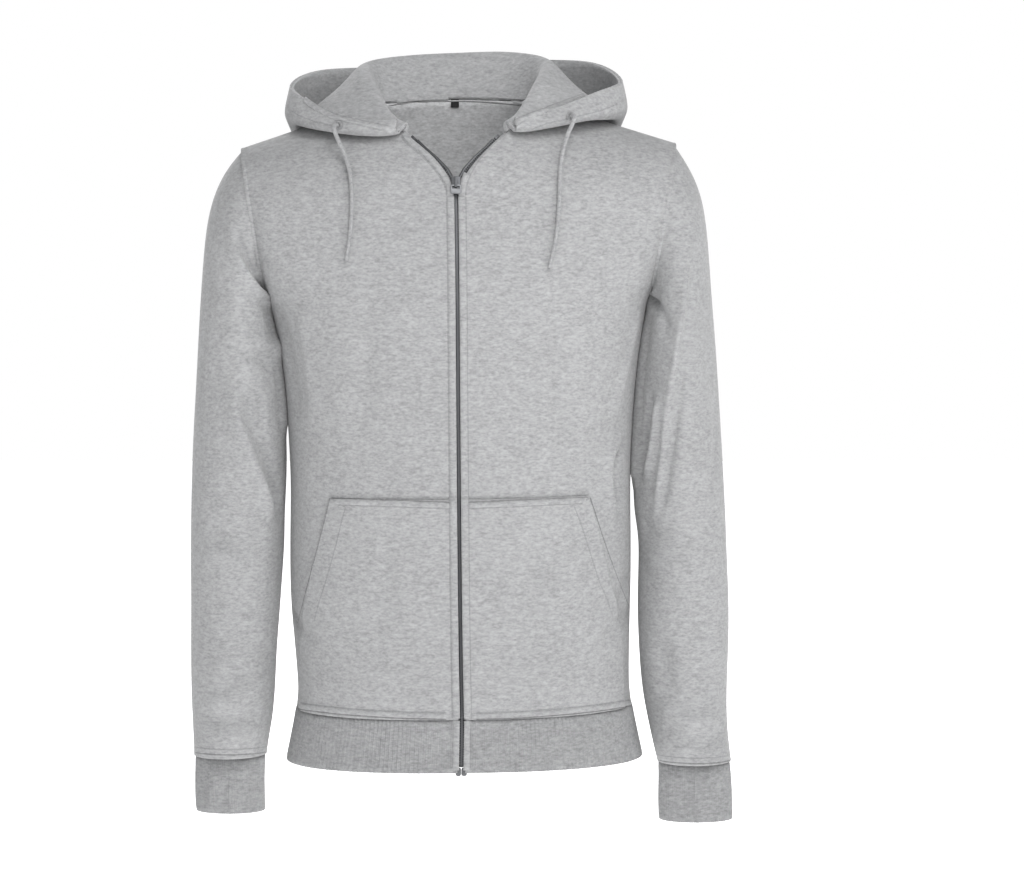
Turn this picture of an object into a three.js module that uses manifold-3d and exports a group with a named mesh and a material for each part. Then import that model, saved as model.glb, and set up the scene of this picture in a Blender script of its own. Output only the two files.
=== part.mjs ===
// A zip-up hooded sweatshirt, filled out as if worn, with every wall of cloth hollow inside.
// Millimetres, +Z up. The front faces -Y and +X is on the right of the front view.
// The origin lies midway between the two points where the shoulder seams meet the neck.
// Left and right in the names are those of the front view.

import * as THREE from 'three';
import { mergeVertices } from 'three/addons/utils/BufferGeometryUtils.js';
import Module from 'manifold-3d';

const wasm = await Module();
wasm.setup();

// Driving sizes
const CLOTH = 2.1;            // one layer of sweatshirt fleece
const RIB_CLOTH = 2.4;        // ribbed knit, without the ribs
const RIB_RISE = 0.9;         // how far a rib stands out
const RIB_PITCH = 4.6;        // each rib here stands for two of the knit's
const SEAM_GAP = 0.3;         // between two pieces at a seam
const LAYER_GAP = 0.3;        // between two layers that lie on each other
const LEVEL = 0.012;          // the garment hangs a little higher at +X
const HEM_SEAM_Z = -630;
const HEM_END_Z = -685;
const UNDERARM_Z = -207.5;
const NECK_MID_X = -3;        // the neck and hood are centred here
const ARMHOLE = { tipX: 224.5, tipZ: -43, baseX: 198, midY: 5, halfDepth: 70 };

const rad = THREE.MathUtils.degToRad;
const clamp = THREE.MathUtils.clamp;
const mix = THREE.MathUtils.lerp;
const vec = (x, y, z) => new THREE.Vector3(x, y, z);
const steps = (count, from = 0, to = 1) =>
  Array.from({ length: count + 1 }, (_, i) => mix(from, to, i / count));

const share = (list) => list.map((item) => (item - list[0]) / (list.at(-1) - list[0]));

// Tables are written as rows of numbers under named columns.
function table(columns, rows) {
  return rows.map((row) => Object.fromEntries(columns.map((name, i) => [name, row[i]])));
}

// A smooth reading of one column against a rising key column, with no overshoot.
function reader(rows, key) {
  const at = rows.map((row) => row[key]);
  return (name, place) => {
    const value = rows.map((row) => row[name]);
    const slope = at.slice(1).map((x, i) => (value[i + 1] - value[i]) / (x - at[i]));
    const tangent = at.map((_, i) => {
      if (i === 0) return slope[0];
      if (i === at.length - 1) return slope[i - 1];
      const [a, b] = [slope[i - 1], slope[i]];
      return a * b <= 0 ? 0 : (2 * a * b) / (a + b);
    });
    const x = clamp(place, at[0], at.at(-1));
    const i = clamp(at.findIndex((edge) => edge > x) - 1, 0, at.length - 2);
    const k = x >= at.at(-1) ? at.length - 2 : i;
    const span = at[k + 1] - at[k];
    const t = (x - at[k]) / span;
    const [t2, t3] = [t * t, t * t * t];
    return value[k] * (2 * t3 - 3 * t2 + 1) + value[k + 1] * (3 * t2 - 2 * t3)
      + tangent[k] * span * (t3 - 2 * t2 + t) + tangent[k + 1] * span * (t3 - t2);
  };
}

// Closed solids from grids of points

function solidFrom(points, faces) {
  const geometry = new THREE.BufferGeometry();
  const places = points.flatMap((p) => p.toArray());
  geometry.setAttribute('position', new THREE.Float32BufferAttribute(places, 3));
  geometry.setIndex(faces.flat());
  const merged = mergeVertices(geometry, 1e-5);
  const index = Array.from(merged.index.array);
  const corners = (i) => index.slice(3 * i, 3 * i + 3);
  const kept = steps(index.length / 3 - 1, 0, index.length / 3 - 1).map((i) => corners(Math.round(i)))
    .filter(([a, b, c]) => a !== b && b !== c && c !== a);
  merged.setIndex(kept.flat());
  return outward(merged);
}

// Turns a closed mesh inside out when its volume comes out negative.
function outward(geometry) {
  const at = geometry.attributes.position;
  const index = Array.from(geometry.index.array);
  const [a, b, c] = [vec(), vec(), vec()];
  let volume = 0;
  for (let i = 0; i < index.length; i += 3) {
    a.fromBufferAttribute(at, index[i]);
    b.fromBufferAttribute(at, index[i + 1]);
    c.fromBufferAttribute(at, index[i + 2]);
    volume += a.dot(b.clone().cross(c));
  }
  if (volume < 0) {
    for (let i = 0; i < index.length; i += 3) {
      [index[i + 1], index[i + 2]] = [index[i + 2], index[i + 1]];
    }
    geometry.setIndex(index);
  }
  return geometry;
}

// The way a surface faces at (u, v), from small steps to either side.
function facing(surface, u, v, limits) {
  const d = 1e-3;
  const [u0, u1] = limits.wrap ? [u - d, u + d] : [Math.max(u - d, 0), Math.min(u + d, 1)];
  const [v0, v1] = [Math.max(v - d, 0), Math.min(v + d, 1)];
  const along = surface(u1, v).sub(surface(u0, v));
  const across = surface(u, v1).sub(surface(u, v0));
  return along.cross(across).normalize().multiplyScalar(limits.flip ?? 1);
}

// A wall of cloth: its outer face lies at `lift` from the surface and its inner face
// `thick` below that. `seam` may turn the wall's edge where it meets another piece.
function wall(surface, us, vs, { lift = 0, thick = CLOTH, wrap = false, flip = 1, seam } = {}) {
  const columns = wrap ? us.slice(0, -1) : us;
  const outer = [];
  const inner = [];
  for (const v of vs) {
    for (const u of columns) {
      const point = surface(u, v);
      const normal = seam?.(u, v) ?? facing(surface, u, v, { wrap, flip });
      outer.push(point.clone().addScaledVector(normal, lift));
      inner.push(point.clone().addScaledVector(normal, lift - thick));
    }
  }
  const width = columns.length;
  const shift = outer.length;
  const id = (i, j, side) => side * shift + j * width + (i % width);
  const faces = [];
  const quad = (a, b, c, d) => faces.push([a, b, c], [a, c, d]);
  const spans = wrap ? width : width - 1;
  for (let j = 0; j < vs.length - 1; j += 1) {
    for (let i = 0; i < spans; i += 1) {
      const corners = (side) =>
        [id(i, j, side), id(i + 1, j, side), id(i + 1, j + 1, side), id(i, j + 1, side)];
      quad(...corners(0));
      // Both faces are split along the same diagonal, so the wall keeps its thickness.
      const [a, b, c, d] = corners(1);
      faces.push([a, c, b], [a, d, c]);
    }
  }
  for (let i = 0; i < spans; i += 1) {
    const top = vs.length - 1;
    quad(id(i + 1, 0, 0), id(i, 0, 0), id(i, 0, 1), id(i + 1, 0, 1));
    quad(id(i, top, 0), id(i + 1, top, 0), id(i + 1, top, 1), id(i, top, 1));
  }
  if (!wrap) {
    for (let j = 0; j < vs.length - 1; j += 1) {
      const last = width - 1;
      quad(id(0, j, 0), id(0, j + 1, 0), id(0, j + 1, 1), id(0, j, 1));
      quad(id(last, j + 1, 0), id(last, j, 0), id(last, j, 1), id(last, j + 1, 1));
    }
  }
  return solidFrom([...outer, ...inner], faces);
}

// Turns an even share of the way round a band into the surface's own u.
function evenly(surface) {
  const count = 400;
  const points = steps(count).map((u) => surface(u, 0.5));
  const reach = [0];
  for (let i = 1; i <= count; i += 1) reach.push(reach[i - 1] + points[i].distanceTo(points[i - 1]));
  return (s) => {
    const length = s * reach[count];
    const i = clamp(reach.findIndex((r) => r > length) - 1, 0, count - 1);
    const k = s >= 1 ? count - 1 : i;
    return (k + (length - reach[k]) / (reach[k + 1] - reach[k])) / count;
  };
}

// A ribbed band: ribs rise in the outer points, over a plain inside with fewer columns.
function ribbedBand(surface, ribs, insideSpans, { thick = RIB_CLOTH, wrap = false, flip = 1 } = {}) {
  const points = [];
  const place = evenly(surface);
  const ring = (spans, v, offset) => {
    const start = points.length;
    const count = wrap ? spans : spans + 1;
    for (let i = 0; i < count; i += 1) {
      const u = place(i / spans);
      const normal = facing(surface, u, v, { wrap, flip });
      normal.z = 0;
      points.push(surface(u, v).addScaledVector(normal.normalize(), offset(i)));
    }
    return { spans, id: (i) => start + (i % count) };
  };
  const ribbed = (i) => (i % 2 === 1 ? RIB_RISE : 0);
  const outer = [ring(ribs * 2, 0, ribbed), ring(ribs * 2, 1, ribbed)];
  const inner = [ring(insideSpans, 0, () => -thick), ring(insideSpans, 1, () => -thick)];
  const faces = [];
  // Joins two rings of unlike counts by always stepping along the one that lags.
  const join = (a, b) => {
    let [i, j] = [0, 0];
    while (i < a.spans || j < b.spans) {
      const stepA = j >= b.spans || (i < a.spans && (i + 1) / a.spans <= (j + 1) / b.spans);
      if (stepA) {
        faces.push([a.id(i), a.id(i + 1), b.id(j)]);
        i += 1;
      } else {
        faces.push([a.id(i), b.id(j + 1), b.id(j)]);
        j += 1;
      }
    }
  };
  join(outer[0], outer[1]);
  join(outer[1], inner[1]);
  join(inner[1], inner[0]);
  join(inner[0], outer[0]);
  if (!wrap) {
    for (const end of [0, 1]) {
      const corner = [outer[0], outer[1], inner[1], inner[0]].map((row) => row.id(end * row.spans));
      const [a, b, c, d] = end ? corner : [...corner].reverse();
      faces.push([a, d, c], [a, c, b]);
    }
  }
  return solidFrom(points, faces);
}

// Torso

// How far the zip line lies from the middle of the garment's width.
const zipLine = reader(table(
  ['z', 'x'],
  [
    [-690, 2.2],
    [-632, 3],
    [-548, 1.5],
    [-406, 0],
    [-204, -1.5],
    [-93, -3],
    [-30, -4],
  ],
), 'z');

const bodyMiddle = reader(table(
  ['z', 'x'],
  [
    [-690, 5.8],
    [-615, 5],
    [-510, 1.6],
    [-400, 1.6],
    [-340, 1.6],
    [-260, 1.2],
    [-200, -0.5],
  ],
), 'z');

// Half-width and depth of the body where it is a closed ring.
const girth = reader(table(
  ['z', 'half', 'front', 'back'],
  [
    [-690, 188.5, 117, 112],
    [-660, 182.5, 118, 109],
    [HEM_SEAM_Z, 176.5, 117.5, 105],
    [-606, 174.5, 121.5, 106],
    [-560, 176.5, 123, 105],
    [-500, 179.5, 125, 102],
    [-450, 179.5, 126.5, 100],
    [-400, 178.2, 128, 101],
    [-350, 180.2, 130, 105],
    [-300, 183.6, 131, 110],
    [-255, 188.8, 130.5, 113],
    [UNDERARM_Z, 197.5, 129, 114],
  ],
), 'z');

// The neck seam, by stations from the V's corner to the shoulder and on to the middle of
// the back. x counts from the neck's middle. The body, hood and neck tape all share it.
const SHOULDER_STATION = 5;
const BACK_STATION = 9;
const neckRows = reader(table(
  ['station', 'x', 'y', 'z'],
  [
    [0, 50.5, -76, -34.5],
    [1, 58, -69, -29.5],
    [2, 68, -59, -23.5],
    [3, 78, -43, -14.5],
    [4, 86, -22, -5.5],
    [5, 89.5, 0, 0],
    [6, 86.5, 27, 2],
    [7, 73, 50, 3.5],
    [8, 42, 69, 6.5],
    [9, 0, 78, 9],
  ],
), 'station');
const neckSeam = (station) =>
  vec(neckRows('x', station), neckRows('y', station), neckRows('z', station));

// Rows of a front panel, from the hem seam up to the shoulder seam. The inner edge runs up
// the zip, the V opening and the neck seam. The outer edge runs up the side seam, and then
// by the angle `scye` from the underarm, 180, to the shoulder tip, 0.
const frontRows = reader(table(
  ['row', 'edgeZ', 'edgeHalf', 'edgeY', 'sideZ', 'scye', 'full'],
  [
    [0, HEM_SEAM_Z, 3.8, -117.5, HEM_SEAM_Z, 180, 1],
    [1, -606, 3.7, -121.5, -606, 180, 1],
    [2, -560, 3.5, -123, -560, 180, 1],
    [3, -500, 3.3, -125, -500, 180, 1],
    [4, -450, 3.2, -126.5, -450, 180, 1],
    [5, -400, 3, -128, -400, 180, 1],
    [6, -350, 2.8, -130, -350, 180, 1],
    [7, -300, 2.7, -131, -300, 180, 1],
    [8, -252, 2.6, -130.5, -255, 180, 1],
    [9, -204, 2.5, -128.5, UNDERARM_Z, 180, 1],
    [10, -165, 2.4, -124, UNDERARM_Z, 150, 0.95],
    [11, -128, 2.4, -117, UNDERARM_Z, 118, 0.85],
    [12, -97, 2.8, -109.5, UNDERARM_Z, 90, 0.72],
    [13, -80.5, 7, -105.5, UNDERARM_Z, 72, 0.6],
    [14, -60, 23, -96.5, UNDERARM_Z, 54, 0.45],
    [15, -44, 40, -84, UNDERARM_Z, 38, 0.3],
    [16, -34.5, 49.5, -76, UNDERARM_Z, 27, 0.18],
    [17, -15, 78, -44, UNDERARM_Z, 13, 0.08],
    [18, 0, 89.5, 0, UNDERARM_Z, 0, 0],
  ],
), 'row');
const FRONT_ROWS = 18;
const FRONT_COLUMNS = 11;
const V_START_ROW = 12;
const V_END_ROW = 16;

// Rows of the back panel share the sides above. `spineY` and `spineZ` give its middle.
const backRows = reader(table(
  ['row', 'spineZ', 'spineY', 'sideZ', 'scye', 'full'],
  [
    [0, HEM_SEAM_Z, 105, HEM_SEAM_Z, 180, 1],
    [1, -606, 106, -606, 180, 1],
    [2, -560, 105, -560, 180, 1],
    [3, -500, 102, -500, 180, 1],
    [4, -450, 100, -450, 180, 1],
    [5, -400, 101, -400, 180, 1],
    [6, -350, 105, -350, 180, 1],
    [7, -300, 110, -300, 180, 1],
    [8, -252, 113, -255, 180, 1],
    [9, -204, 114, UNDERARM_Z, 180, 1],
    [10, -160, 112.5, UNDERARM_Z, 150, 0.95],
    [11, -118, 109, UNDERARM_Z, 120, 0.85],
    [12, -80, 104, UNDERARM_Z, 90, 0.72],
    [13, -45, 96.5, UNDERARM_Z, 60, 0.55],
    [14, -15, 87, UNDERARM_Z, 32, 0.35],
    [15, 9, 78, UNDERARM_Z, 0, 0],
  ],
), 'row');
const BACK_ROWS = 15;
const BACK_COLUMNS = 20;

// Wide, shallow folds of the body, as soft troughs (negative) and ridges at a place of the
// front view. `lean` turns the fold from upright; the back carries them with `face` 1.
const bodyFolds = table(
  ['x', 'z', 'face', 'lean', 'length', 'width', 'rise'],
  [
    [168, -330, -1, -14, 90, 9, -3.5],
    [150, -300, -1, -22, 120, 14, 2.5],
    [-160, -300, -1, 16, 110, 12, -3],
    [-95, -330, -1, 8, 170, 22, -2],
    [70, -300, -1, -5, 200, 24, -2],
    [-120, -590, -1, 20, 70, 12, -2.5],
    [130, -585, -1, -24, 80, 12, -2.5],
    [-150, -290, 1, 18, 120, 14, -3.5],
    [152, -300, 1, -16, 110, 14, -3.5],
    [-60, -420, 1, 60, 130, 16, -3],
    [50, -470, 1, -70, 150, 16, -3],
    [-20, -560, 1, 84, 160, 13, -3],
    [0, -600, 1, 90, 190, 9, 3],
  ],
);

function foldRise(folds, x, z) {
  return folds.reduce((sum, fold) => {
    const turn = rad(fold.lean);
    const [dx, dz] = [x - fold.x, z - fold.z];
    const across = dx * Math.cos(turn) - dz * Math.sin(turn);
    const along = dx * Math.sin(turn) + dz * Math.cos(turn);
    return sum + fold.rise * Math.exp(-((across / fold.width) ** 2) - (2 * along / fold.length) ** 2);
  }, 0);
}

const ROUNDNESS = 2.3;        // exponent of the body's superellipse rings
const roundX = (turn) => Math.sin(turn) ** (2 / ROUNDNESS);
const roundY = (turn) => 1 - Math.cos(turn) ** (2 / ROUNDNESS);
const turnAt = (share) => Math.asin(clamp(share, 0, 1) ** (ROUNDNESS / 2));

// A point of the armhole seam: angle 0 at the shoulder tip, 180 at the underarm.
function armholePoint(side, face, degrees) {
  const c = Math.cos(rad(degrees));
  const x = mix(ARMHOLE.baseX, ARMHOLE.tipX, (c + 1) / 2);
  const z = mix(UNDERARM_Z, ARMHOLE.tipZ, (c + 1) / 2);
  const y = ARMHOLE.midY + face * ARMHOLE.halfDepth * Math.sin(rad(degrees));
  return vec(side * x + bodyMiddle('x', -200), y, z);
}

// The way a wall faces at the armhole, shared by the body and the sleeve.
function armholeFacing(side, face, degrees) {
  const up = vec(side * (ARMHOLE.tipX - ARMHOLE.baseX), 0, ARMHOLE.tipZ - UNDERARM_Z);
  const half = up.length() / 2;
  return up.normalize().multiplyScalar(Math.cos(rad(degrees)) / half)
    .add(vec(0, face * Math.sin(rad(degrees)) / ARMHOLE.halfDepth, 0)).normalize();
}

// The outer edge of a front (face -1) or of one side of the back (face 1).
function sidePoint(rows, side, face, row) {
  const scye = rows('scye', row);
  const sideZ = rows('sideZ', row);
  if (scye < 179.9 || sideZ > UNDERARM_Z - 0.1) return armholePoint(side, face, scye);
  return vec(side * girth('half', sideZ) + bodyMiddle('x', sideZ), ARMHOLE.midY, sideZ);
}

// One quarter of the body: share 0 is the inner edge and share 1 the side or armhole.
function quarter(inner, outer, full, share) {
  const turn = share * Math.PI / 2;
  const alongX = mix(share, roundX(turn), full);
  const alongY = mix(share, roundY(turn), full);
  return vec(mix(inner.x, outer.x, alongX), mix(inner.y, outer.y, alongY), mix(inner.z, outer.z, alongX));
}

const level = (point) => point.setZ(point.z + LEVEL * point.x);

function frontPoint(side, share, row) {
  const edgeZ = frontRows('edgeZ', row);
  const neckward = clamp((row - V_END_ROW) / (FRONT_ROWS - V_END_ROW), 0, 1);
  const centre = mix(zipLine('x', edgeZ), NECK_MID_X, neckward);
  const inner = vec(centre + side * frontRows('edgeHalf', row), frontRows('edgeY', row), edgeZ);
  if (row > V_END_ROW) {
    const seam = neckSeam(neckward * SHOULDER_STATION);
    inner.set(NECK_MID_X + side * seam.x, seam.y, seam.z);
  }
  const outer = sidePoint(frontRows, side, -1, row);
  const point = quarter(inner, outer, frontRows('full', row), share);
  const fade = Math.sin(Math.PI * share) * clamp((FRONT_ROWS - row) / 4, 0, 1) * clamp(row, 0, 1);
  const rise = fade * foldRise(bodyFolds.filter((fold) => fold.face < 0), point.x, point.z);
  point.y -= rise;
  point.y -= (SEAM_GAP / 2) * Math.max(share, row / FRONT_ROWS) ** 8;
  return level(point);
}

// The neck seam and shoulder seam above the back, by share from the middle to the tip.
const NECK_SHARE = 0.5;
function backTop(share) {
  const corner = neckSeam(SHOULDER_STATION);
  if (share < NECK_SHARE) return neckSeam(mix(BACK_STATION, SHOULDER_STATION, share / NECK_SHARE));
  const t = (share - NECK_SHARE) / (1 - NECK_SHARE);
  return corner.lerp(vec(ARMHOLE.tipX, ARMHOLE.midY, ARMHOLE.tipZ), t);
}

function backPoint(across, row) {
  const side = Math.sign(across) || 1;
  const share = Math.abs(across);
  const spineZ = backRows('spineZ', row);
  const top = clamp((row - 10) / (BACK_ROWS - 10), 0, 1);
  const middle = mix(bodyMiddle('x', spineZ), NECK_MID_X, top);
  const inner = vec(middle, backRows('spineY', row), spineZ);
  const outer = sidePoint(backRows, side, 1, row);
  const point = quarter(inner, outer, backRows('full', row), share);
  const rim = backTop(share);
  const tipX = Math.abs(outer.x - middle);
  const plain = neckSeam(BACK_STATION).lerp(vec(tipX, ARMHOLE.midY, ARMHOLE.tipZ), share);
  const pull = top ** 2.2;
  point.x += side * pull * (rim.x * tipX / ARMHOLE.tipX - plain.x);
  point.y += pull * (rim.y - plain.y);
  point.z += pull * (rim.z - plain.z);
  const fade = Math.sin(Math.PI * Math.min(share + 0.15, 1)) * clamp((BACK_ROWS - row) / 4, 0, 1);
  const folds = bodyFolds.filter((fold) => fold.face > 0);
  const rise = fade * clamp(row, 0, 1) * foldRise(folds, point.x, point.z);
  point.y += rise;
  point.y += (SEAM_GAP / 2) * Math.max(share, row / BACK_ROWS) ** 8;
  return level(point);
}

// A panel's wall turns at its seams, so that two pieces meet edge to edge.
function frontSeam(side) {
  return (u, v) => {
    const row = v * FRONT_ROWS;
    if (u >= 0.999 && row > 9) return armholeFacing(side, -1, frontRows('scye', row));
    if (u >= 0.999) return vec(side, 0, 0);
    if (v > 0.999) return facing(frontOf(side), u, v, { flip: side }).setY(0).normalize();
    if (v < 0.001) return facing(frontOf(side), u, v, { flip: side }).setZ(0).normalize();
    return null;
  };
}

const frontOf = (side) => (u, v) => frontPoint(side, u, v * FRONT_ROWS);
const backOf = (u, v) => backPoint(2 * u - 1, v * BACK_ROWS);

function backSeam(u, v) {
  const across = 2 * u - 1;
  const side = Math.sign(across);
  const row = v * BACK_ROWS;
  if (Math.abs(across) > 0.999 && row > 9) return armholeFacing(side, 1, backRows('scye', row));
  if (Math.abs(across) > 0.999) return vec(side, 0, 0);
  if (v > 0.999 && Math.abs(across) > NECK_SHARE - 0.01) {
    return facing(backOf, u, v, { flip: -1 }).setY(0).normalize();
  }
  if (v < 0.001) return facing(backOf, u, v, { flip: -1 }).setZ(0).normalize();
  return null;
}

// Sleeves and cuffs

const ringColumns = ['outX', 'outZ', 'inX', 'inZ', 'midY', 'depth'];
const sleeveRings = {
  left: table(ringColumns, [
    [-243, -66, -198.5, -221, 4, 146],
    [-256, -92, -193.8, -238, 3, 149],
    [-264, -122, -188.4, -262, 2, 147],
    [-268, -162, -184.6, -292, 0, 142],
    [-271, -205, -182, -322, -2, 136],
    [-274, -255, -180.4, -350, -3, 130],
    [-277, -310, -179.6, -382, -4, 125],
    [-280, -365, -181.5, -415, -6, 120],
    [-281.5, -420, -183.5, -452, -8, 115],
    [-282, -475, -185, -495, -10, 111],
    [-282, -530, -188, -540, -12, 107],
    [-282, -580, -191.5, -585, -14, 103],
    [-281, -628, -192.5, -628, -16, 99],
    [-279, -660, -198.5, -659, -18, 94],
    [-278.5, -680, -201, -679, -19, 88],
  ]),
  right: table(ringColumns, [
    [239, -62, 200.5, -217, 4, 146],
    [252, -88, 195.4, -235, 3, 149],
    [258.5, -120, 190.8, -260, 2, 147],
    [262, -160, 187.2, -290, 0, 142],
    [265, -205, 184.8, -320, -2, 136],
    [269.5, -255, 183, -350, -3, 130],
    [273, -310, 181.8, -382, -4, 125],
    [276.5, -365, 182.8, -415, -6, 120],
    [279.5, -420, 188.5, -447, -8, 115],
    [281.5, -475, 187, -492, -10, 111],
    [284, -530, 186.5, -540, -12, 107],
    [283, -580, 188.5, -585, -14, 103],
    [281, -628, 194, -630, -16, 99],
    [283, -662, 202, -664, -18, 94],
    [286, -686, 207.5, -687, -19, 88],
  ]),
};

const cuffRings = {
  left: table(ringColumns, [
    [-276, -680.5, -203.5, -679.5, -19, 60],
    [-275, -738, -203.5, -738, -25, 56],
  ]),
  right: table(ringColumns, [
    [283.5, -686.5, 209.5, -687.5, -19, 60],
    [286.5, -747, 210, -747.5, -25, 56],
  ]),
};

// Large folds of a sleeve. `at` counts rings from the armhole, `angle` is 0 on the outer
// side, 90 in front, 180 on the inner side and 270 behind; `turn` is 0 along the sleeve.
const foldColumns = ['at', 'angle', 'turn', 'length', 'width', 'rise'];
const sleeveFolds = {
  left: table(foldColumns, [
    [3.4, 118, 14, 150, 10, -6],
    [3.6, 150, 12, 150, 13, 4],
    [5.8, 70, -68, 110, 9, -6],
    [7.4, 112, -18, 150, 12, 4.5],
    [8.3, 92, -22, 130, 9, -4],
    [11, 60, 70, 80, 11, -3.5],
    [13.2, 110, 80, 80, 8, -3],
    [4.5, 240, 18, 140, 14, -4],
    [7.5, 265, 60, 120, 12, -4],
    [9.3, 200, -60, 110, 12, 3.5],
    [12.4, 250, 78, 90, 10, -3],
  ]),
  right: table(foldColumns, [
    [5, 76, 6, 260, 17, 5],
    [4.4, 118, 8, 170, 13, -5],
    [7.2, 128, 22, 120, 11, -6],
    [8.3, 158, 70, 70, 12, 4],
    [9.8, 118, 60, 90, 10, -3.5],
    [12, 80, -60, 100, 12, -3],
    [13.3, 130, 84, 70, 8, -3],
    [4.7, 250, -16, 150, 14, -4],
    [7.8, 270, 64, 120, 12, -4],
    [11.6, 235, -70, 100, 11, -3],
  ]),
};

const RING_STEP = 46;         // mean distance between two rings, for the folds' lengths

function ringPoint(ring, turn) {
  const reach = vec(ring.outX - ring.inX, 0, ring.outZ - ring.inZ).multiplyScalar(0.5);
  const centre = vec((ring.outX + ring.inX) / 2, ring.midY, (ring.outZ + ring.inZ) / 2);
  const half = reach.length();
  const point = centre.addScaledVector(reach, Math.cos(turn));
  point.y -= (ring.depth / 2) * Math.sin(turn);
  const normal = reach.multiplyScalar(Math.cos(turn) / (half * half));
  normal.y = -Math.sin(turn) / (ring.depth / 2);
  return { point, normal: normal.normalize() };
}

function armholeRing(side) {
  const tip = level(armholePoint(side, 1, 0));
  const base = level(armholePoint(side, 1, 180));
  return { outX: tip.x, outZ: tip.z, inX: base.x, inZ: base.z,
    midY: ARMHOLE.midY, depth: 2 * ARMHOLE.halfDepth };
}

// Ring 0 of a sleeve is the armhole itself; the others come from the table.
function sleeveReader(name) {
  const side = name === 'left' ? -1 : 1;
  const rows = [armholeRing(side), ...sleeveRings[name]].map((ring, at) => ({ at, ...ring }));
  const read = reader(rows, 'at');
  return (at) => Object.fromEntries(ringColumns.map((column) => [column, read(column, at)]));
}

function sleeveSurface(name) {
  const ringAt = sleeveReader(name);
  const last = sleeveRings[name].length;
  const folds = sleeveFolds[name];
  return (u, v) => {
    const at = v * last;
    const ring = ringAt(at);
    const { point, normal } = ringPoint(ring, u * Math.PI * 2);
    const width = Math.hypot(ring.outX - ring.inX, ring.outZ - ring.inZ);
    const girthStep = (width + ring.depth) * Math.PI / 4 / 360;
    const rise = folds.reduce((sum, fold) => {
      const turn = ((u * 360 - fold.angle + 540) % 360) - 180;
      const [around, down] = [turn * 2 * girthStep, (at - fold.at) * RING_STEP];
      const [c, s] = [Math.cos(rad(fold.turn)), Math.sin(rad(fold.turn))];
      const across = around * c - down * s;
      const along = around * s + down * c;
      return sum + fold.rise * Math.exp(-((across / fold.width) ** 2) - (2 * along / fold.length) ** 2);
    }, 0);
    const fade = clamp(at / 1.2, 0, 1) * clamp((last - at) / 0.8, 0, 1);
    return { point: point.addScaledVector(normal, rise * fade), normal };
  };
}

// The sleeve starts a seam's width past the armhole, moved along its own axis.
function sleeveWall(name) {
  const surface = sleeveSurface(name);
  const side = name === 'left' ? -1 : 1;
  const away = vec(side, 0, -0.18).normalize().multiplyScalar(SEAM_GAP);
  const at = (u, v) => surface(u, v).point.add(v < 0.001 ? away : vec(0, 0, 0));
  const seam = (u, v) => surface(u, v).normal;
  const rings = steps(17).map((v) => v ** 0.92);
  return wall(at, steps(20), rings, { wrap: true, seam });
}

function cuffBand(name) {
  const rows = cuffRings[name].map((ring, at) => ({ at, ...ring }));
  const read = reader(rows, 'at');
  const ringAt = (at) => Object.fromEntries(ringColumns.map((column) => [column, read(column, at)]));
  const surface = (u, v) => ringPoint(ringAt(v), u * Math.PI * 2).point;
  const first = cuffRings[name][0];
  const around = Math.PI * (Math.abs(first.outX - first.inX) + first.depth) / 2;
  const ribs = Math.round(around / RIB_PITCH);
  return ribbedBand(surface, ribs, 30, { wrap: true, flip: name === 'left' ? -1 : 1 });
}

// Hem band

// Goes round from the left zip edge, past the left side, the back and the right side.
function hemPoint(u, v) {
  const z = mix(HEM_SEAM_Z - SEAM_GAP, HEM_END_Z, v);
  const half = girth('half', z);
  const middle = bodyMiddle('x', z);
  const start = zipLine('x', z) - HEM_HALF_GAP - middle;
  const end = zipLine('x', z) + HEM_HALF_GAP - middle;
  const quarterTurn = clamp(Math.floor(u * 4), 0, 3);
  const within = u * 4 - quarterTurn;
  const front = quarterTurn < 1 || quarterTurn > 2;
  const share = quarterTurn % 2 === 0 ? within : 1 - within;
  const side = quarterTurn < 2 ? -1 : 1;
  const depth = front ? -girth('front', z) : girth('back', z);
  const edge = front ? (side < 0 ? start : end) : 0;
  const inner = vec(edge, depth, z);
  const outer = vec(side * half, ARMHOLE.midY, z);
  const point = quarter(inner, outer, 1, share);
  point.x += middle;
  return level(point);
}

const HEM_ROUND = 985;        // round the band, from zip edge to zip edge
const HEM_INSIDE_SPANS = 132;

// Pocket

// How far the pocket half reaches from the zip line, down from its top edge: a slanted
// hand opening, and then a short upright side.
const pocketReach = reader(table(
  ['z', 'reach'],
  [
    [HEM_SEAM_Z, 167],
    [-600, 167],
    [-546, 165.5],
    [-500, 155],
    [-450, 143],
    [-405, 131.5],
  ],
), 'z');

// A point on the flat facets between two columns of the front's own grid.
function onFacets(side, share, row) {
  const column = Math.min(Math.floor(share * FRONT_COLUMNS + 1e-6), FRONT_COLUMNS - 1);
  const [left, right] = [column, column + 1].map((i) => frontPoint(side, i / FRONT_COLUMNS, row));
  return left.lerp(right, share * FRONT_COLUMNS - column);
}

// The pocket uses the front's own columns and rows, cut off along the hand opening.
const POCKET_COLUMNS = 9;
const POCKET_GAP = 0.6;
const pocketRows = [0.02, 0.6, 1, 2, 2.5, 3, 4, 4.9];

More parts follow.
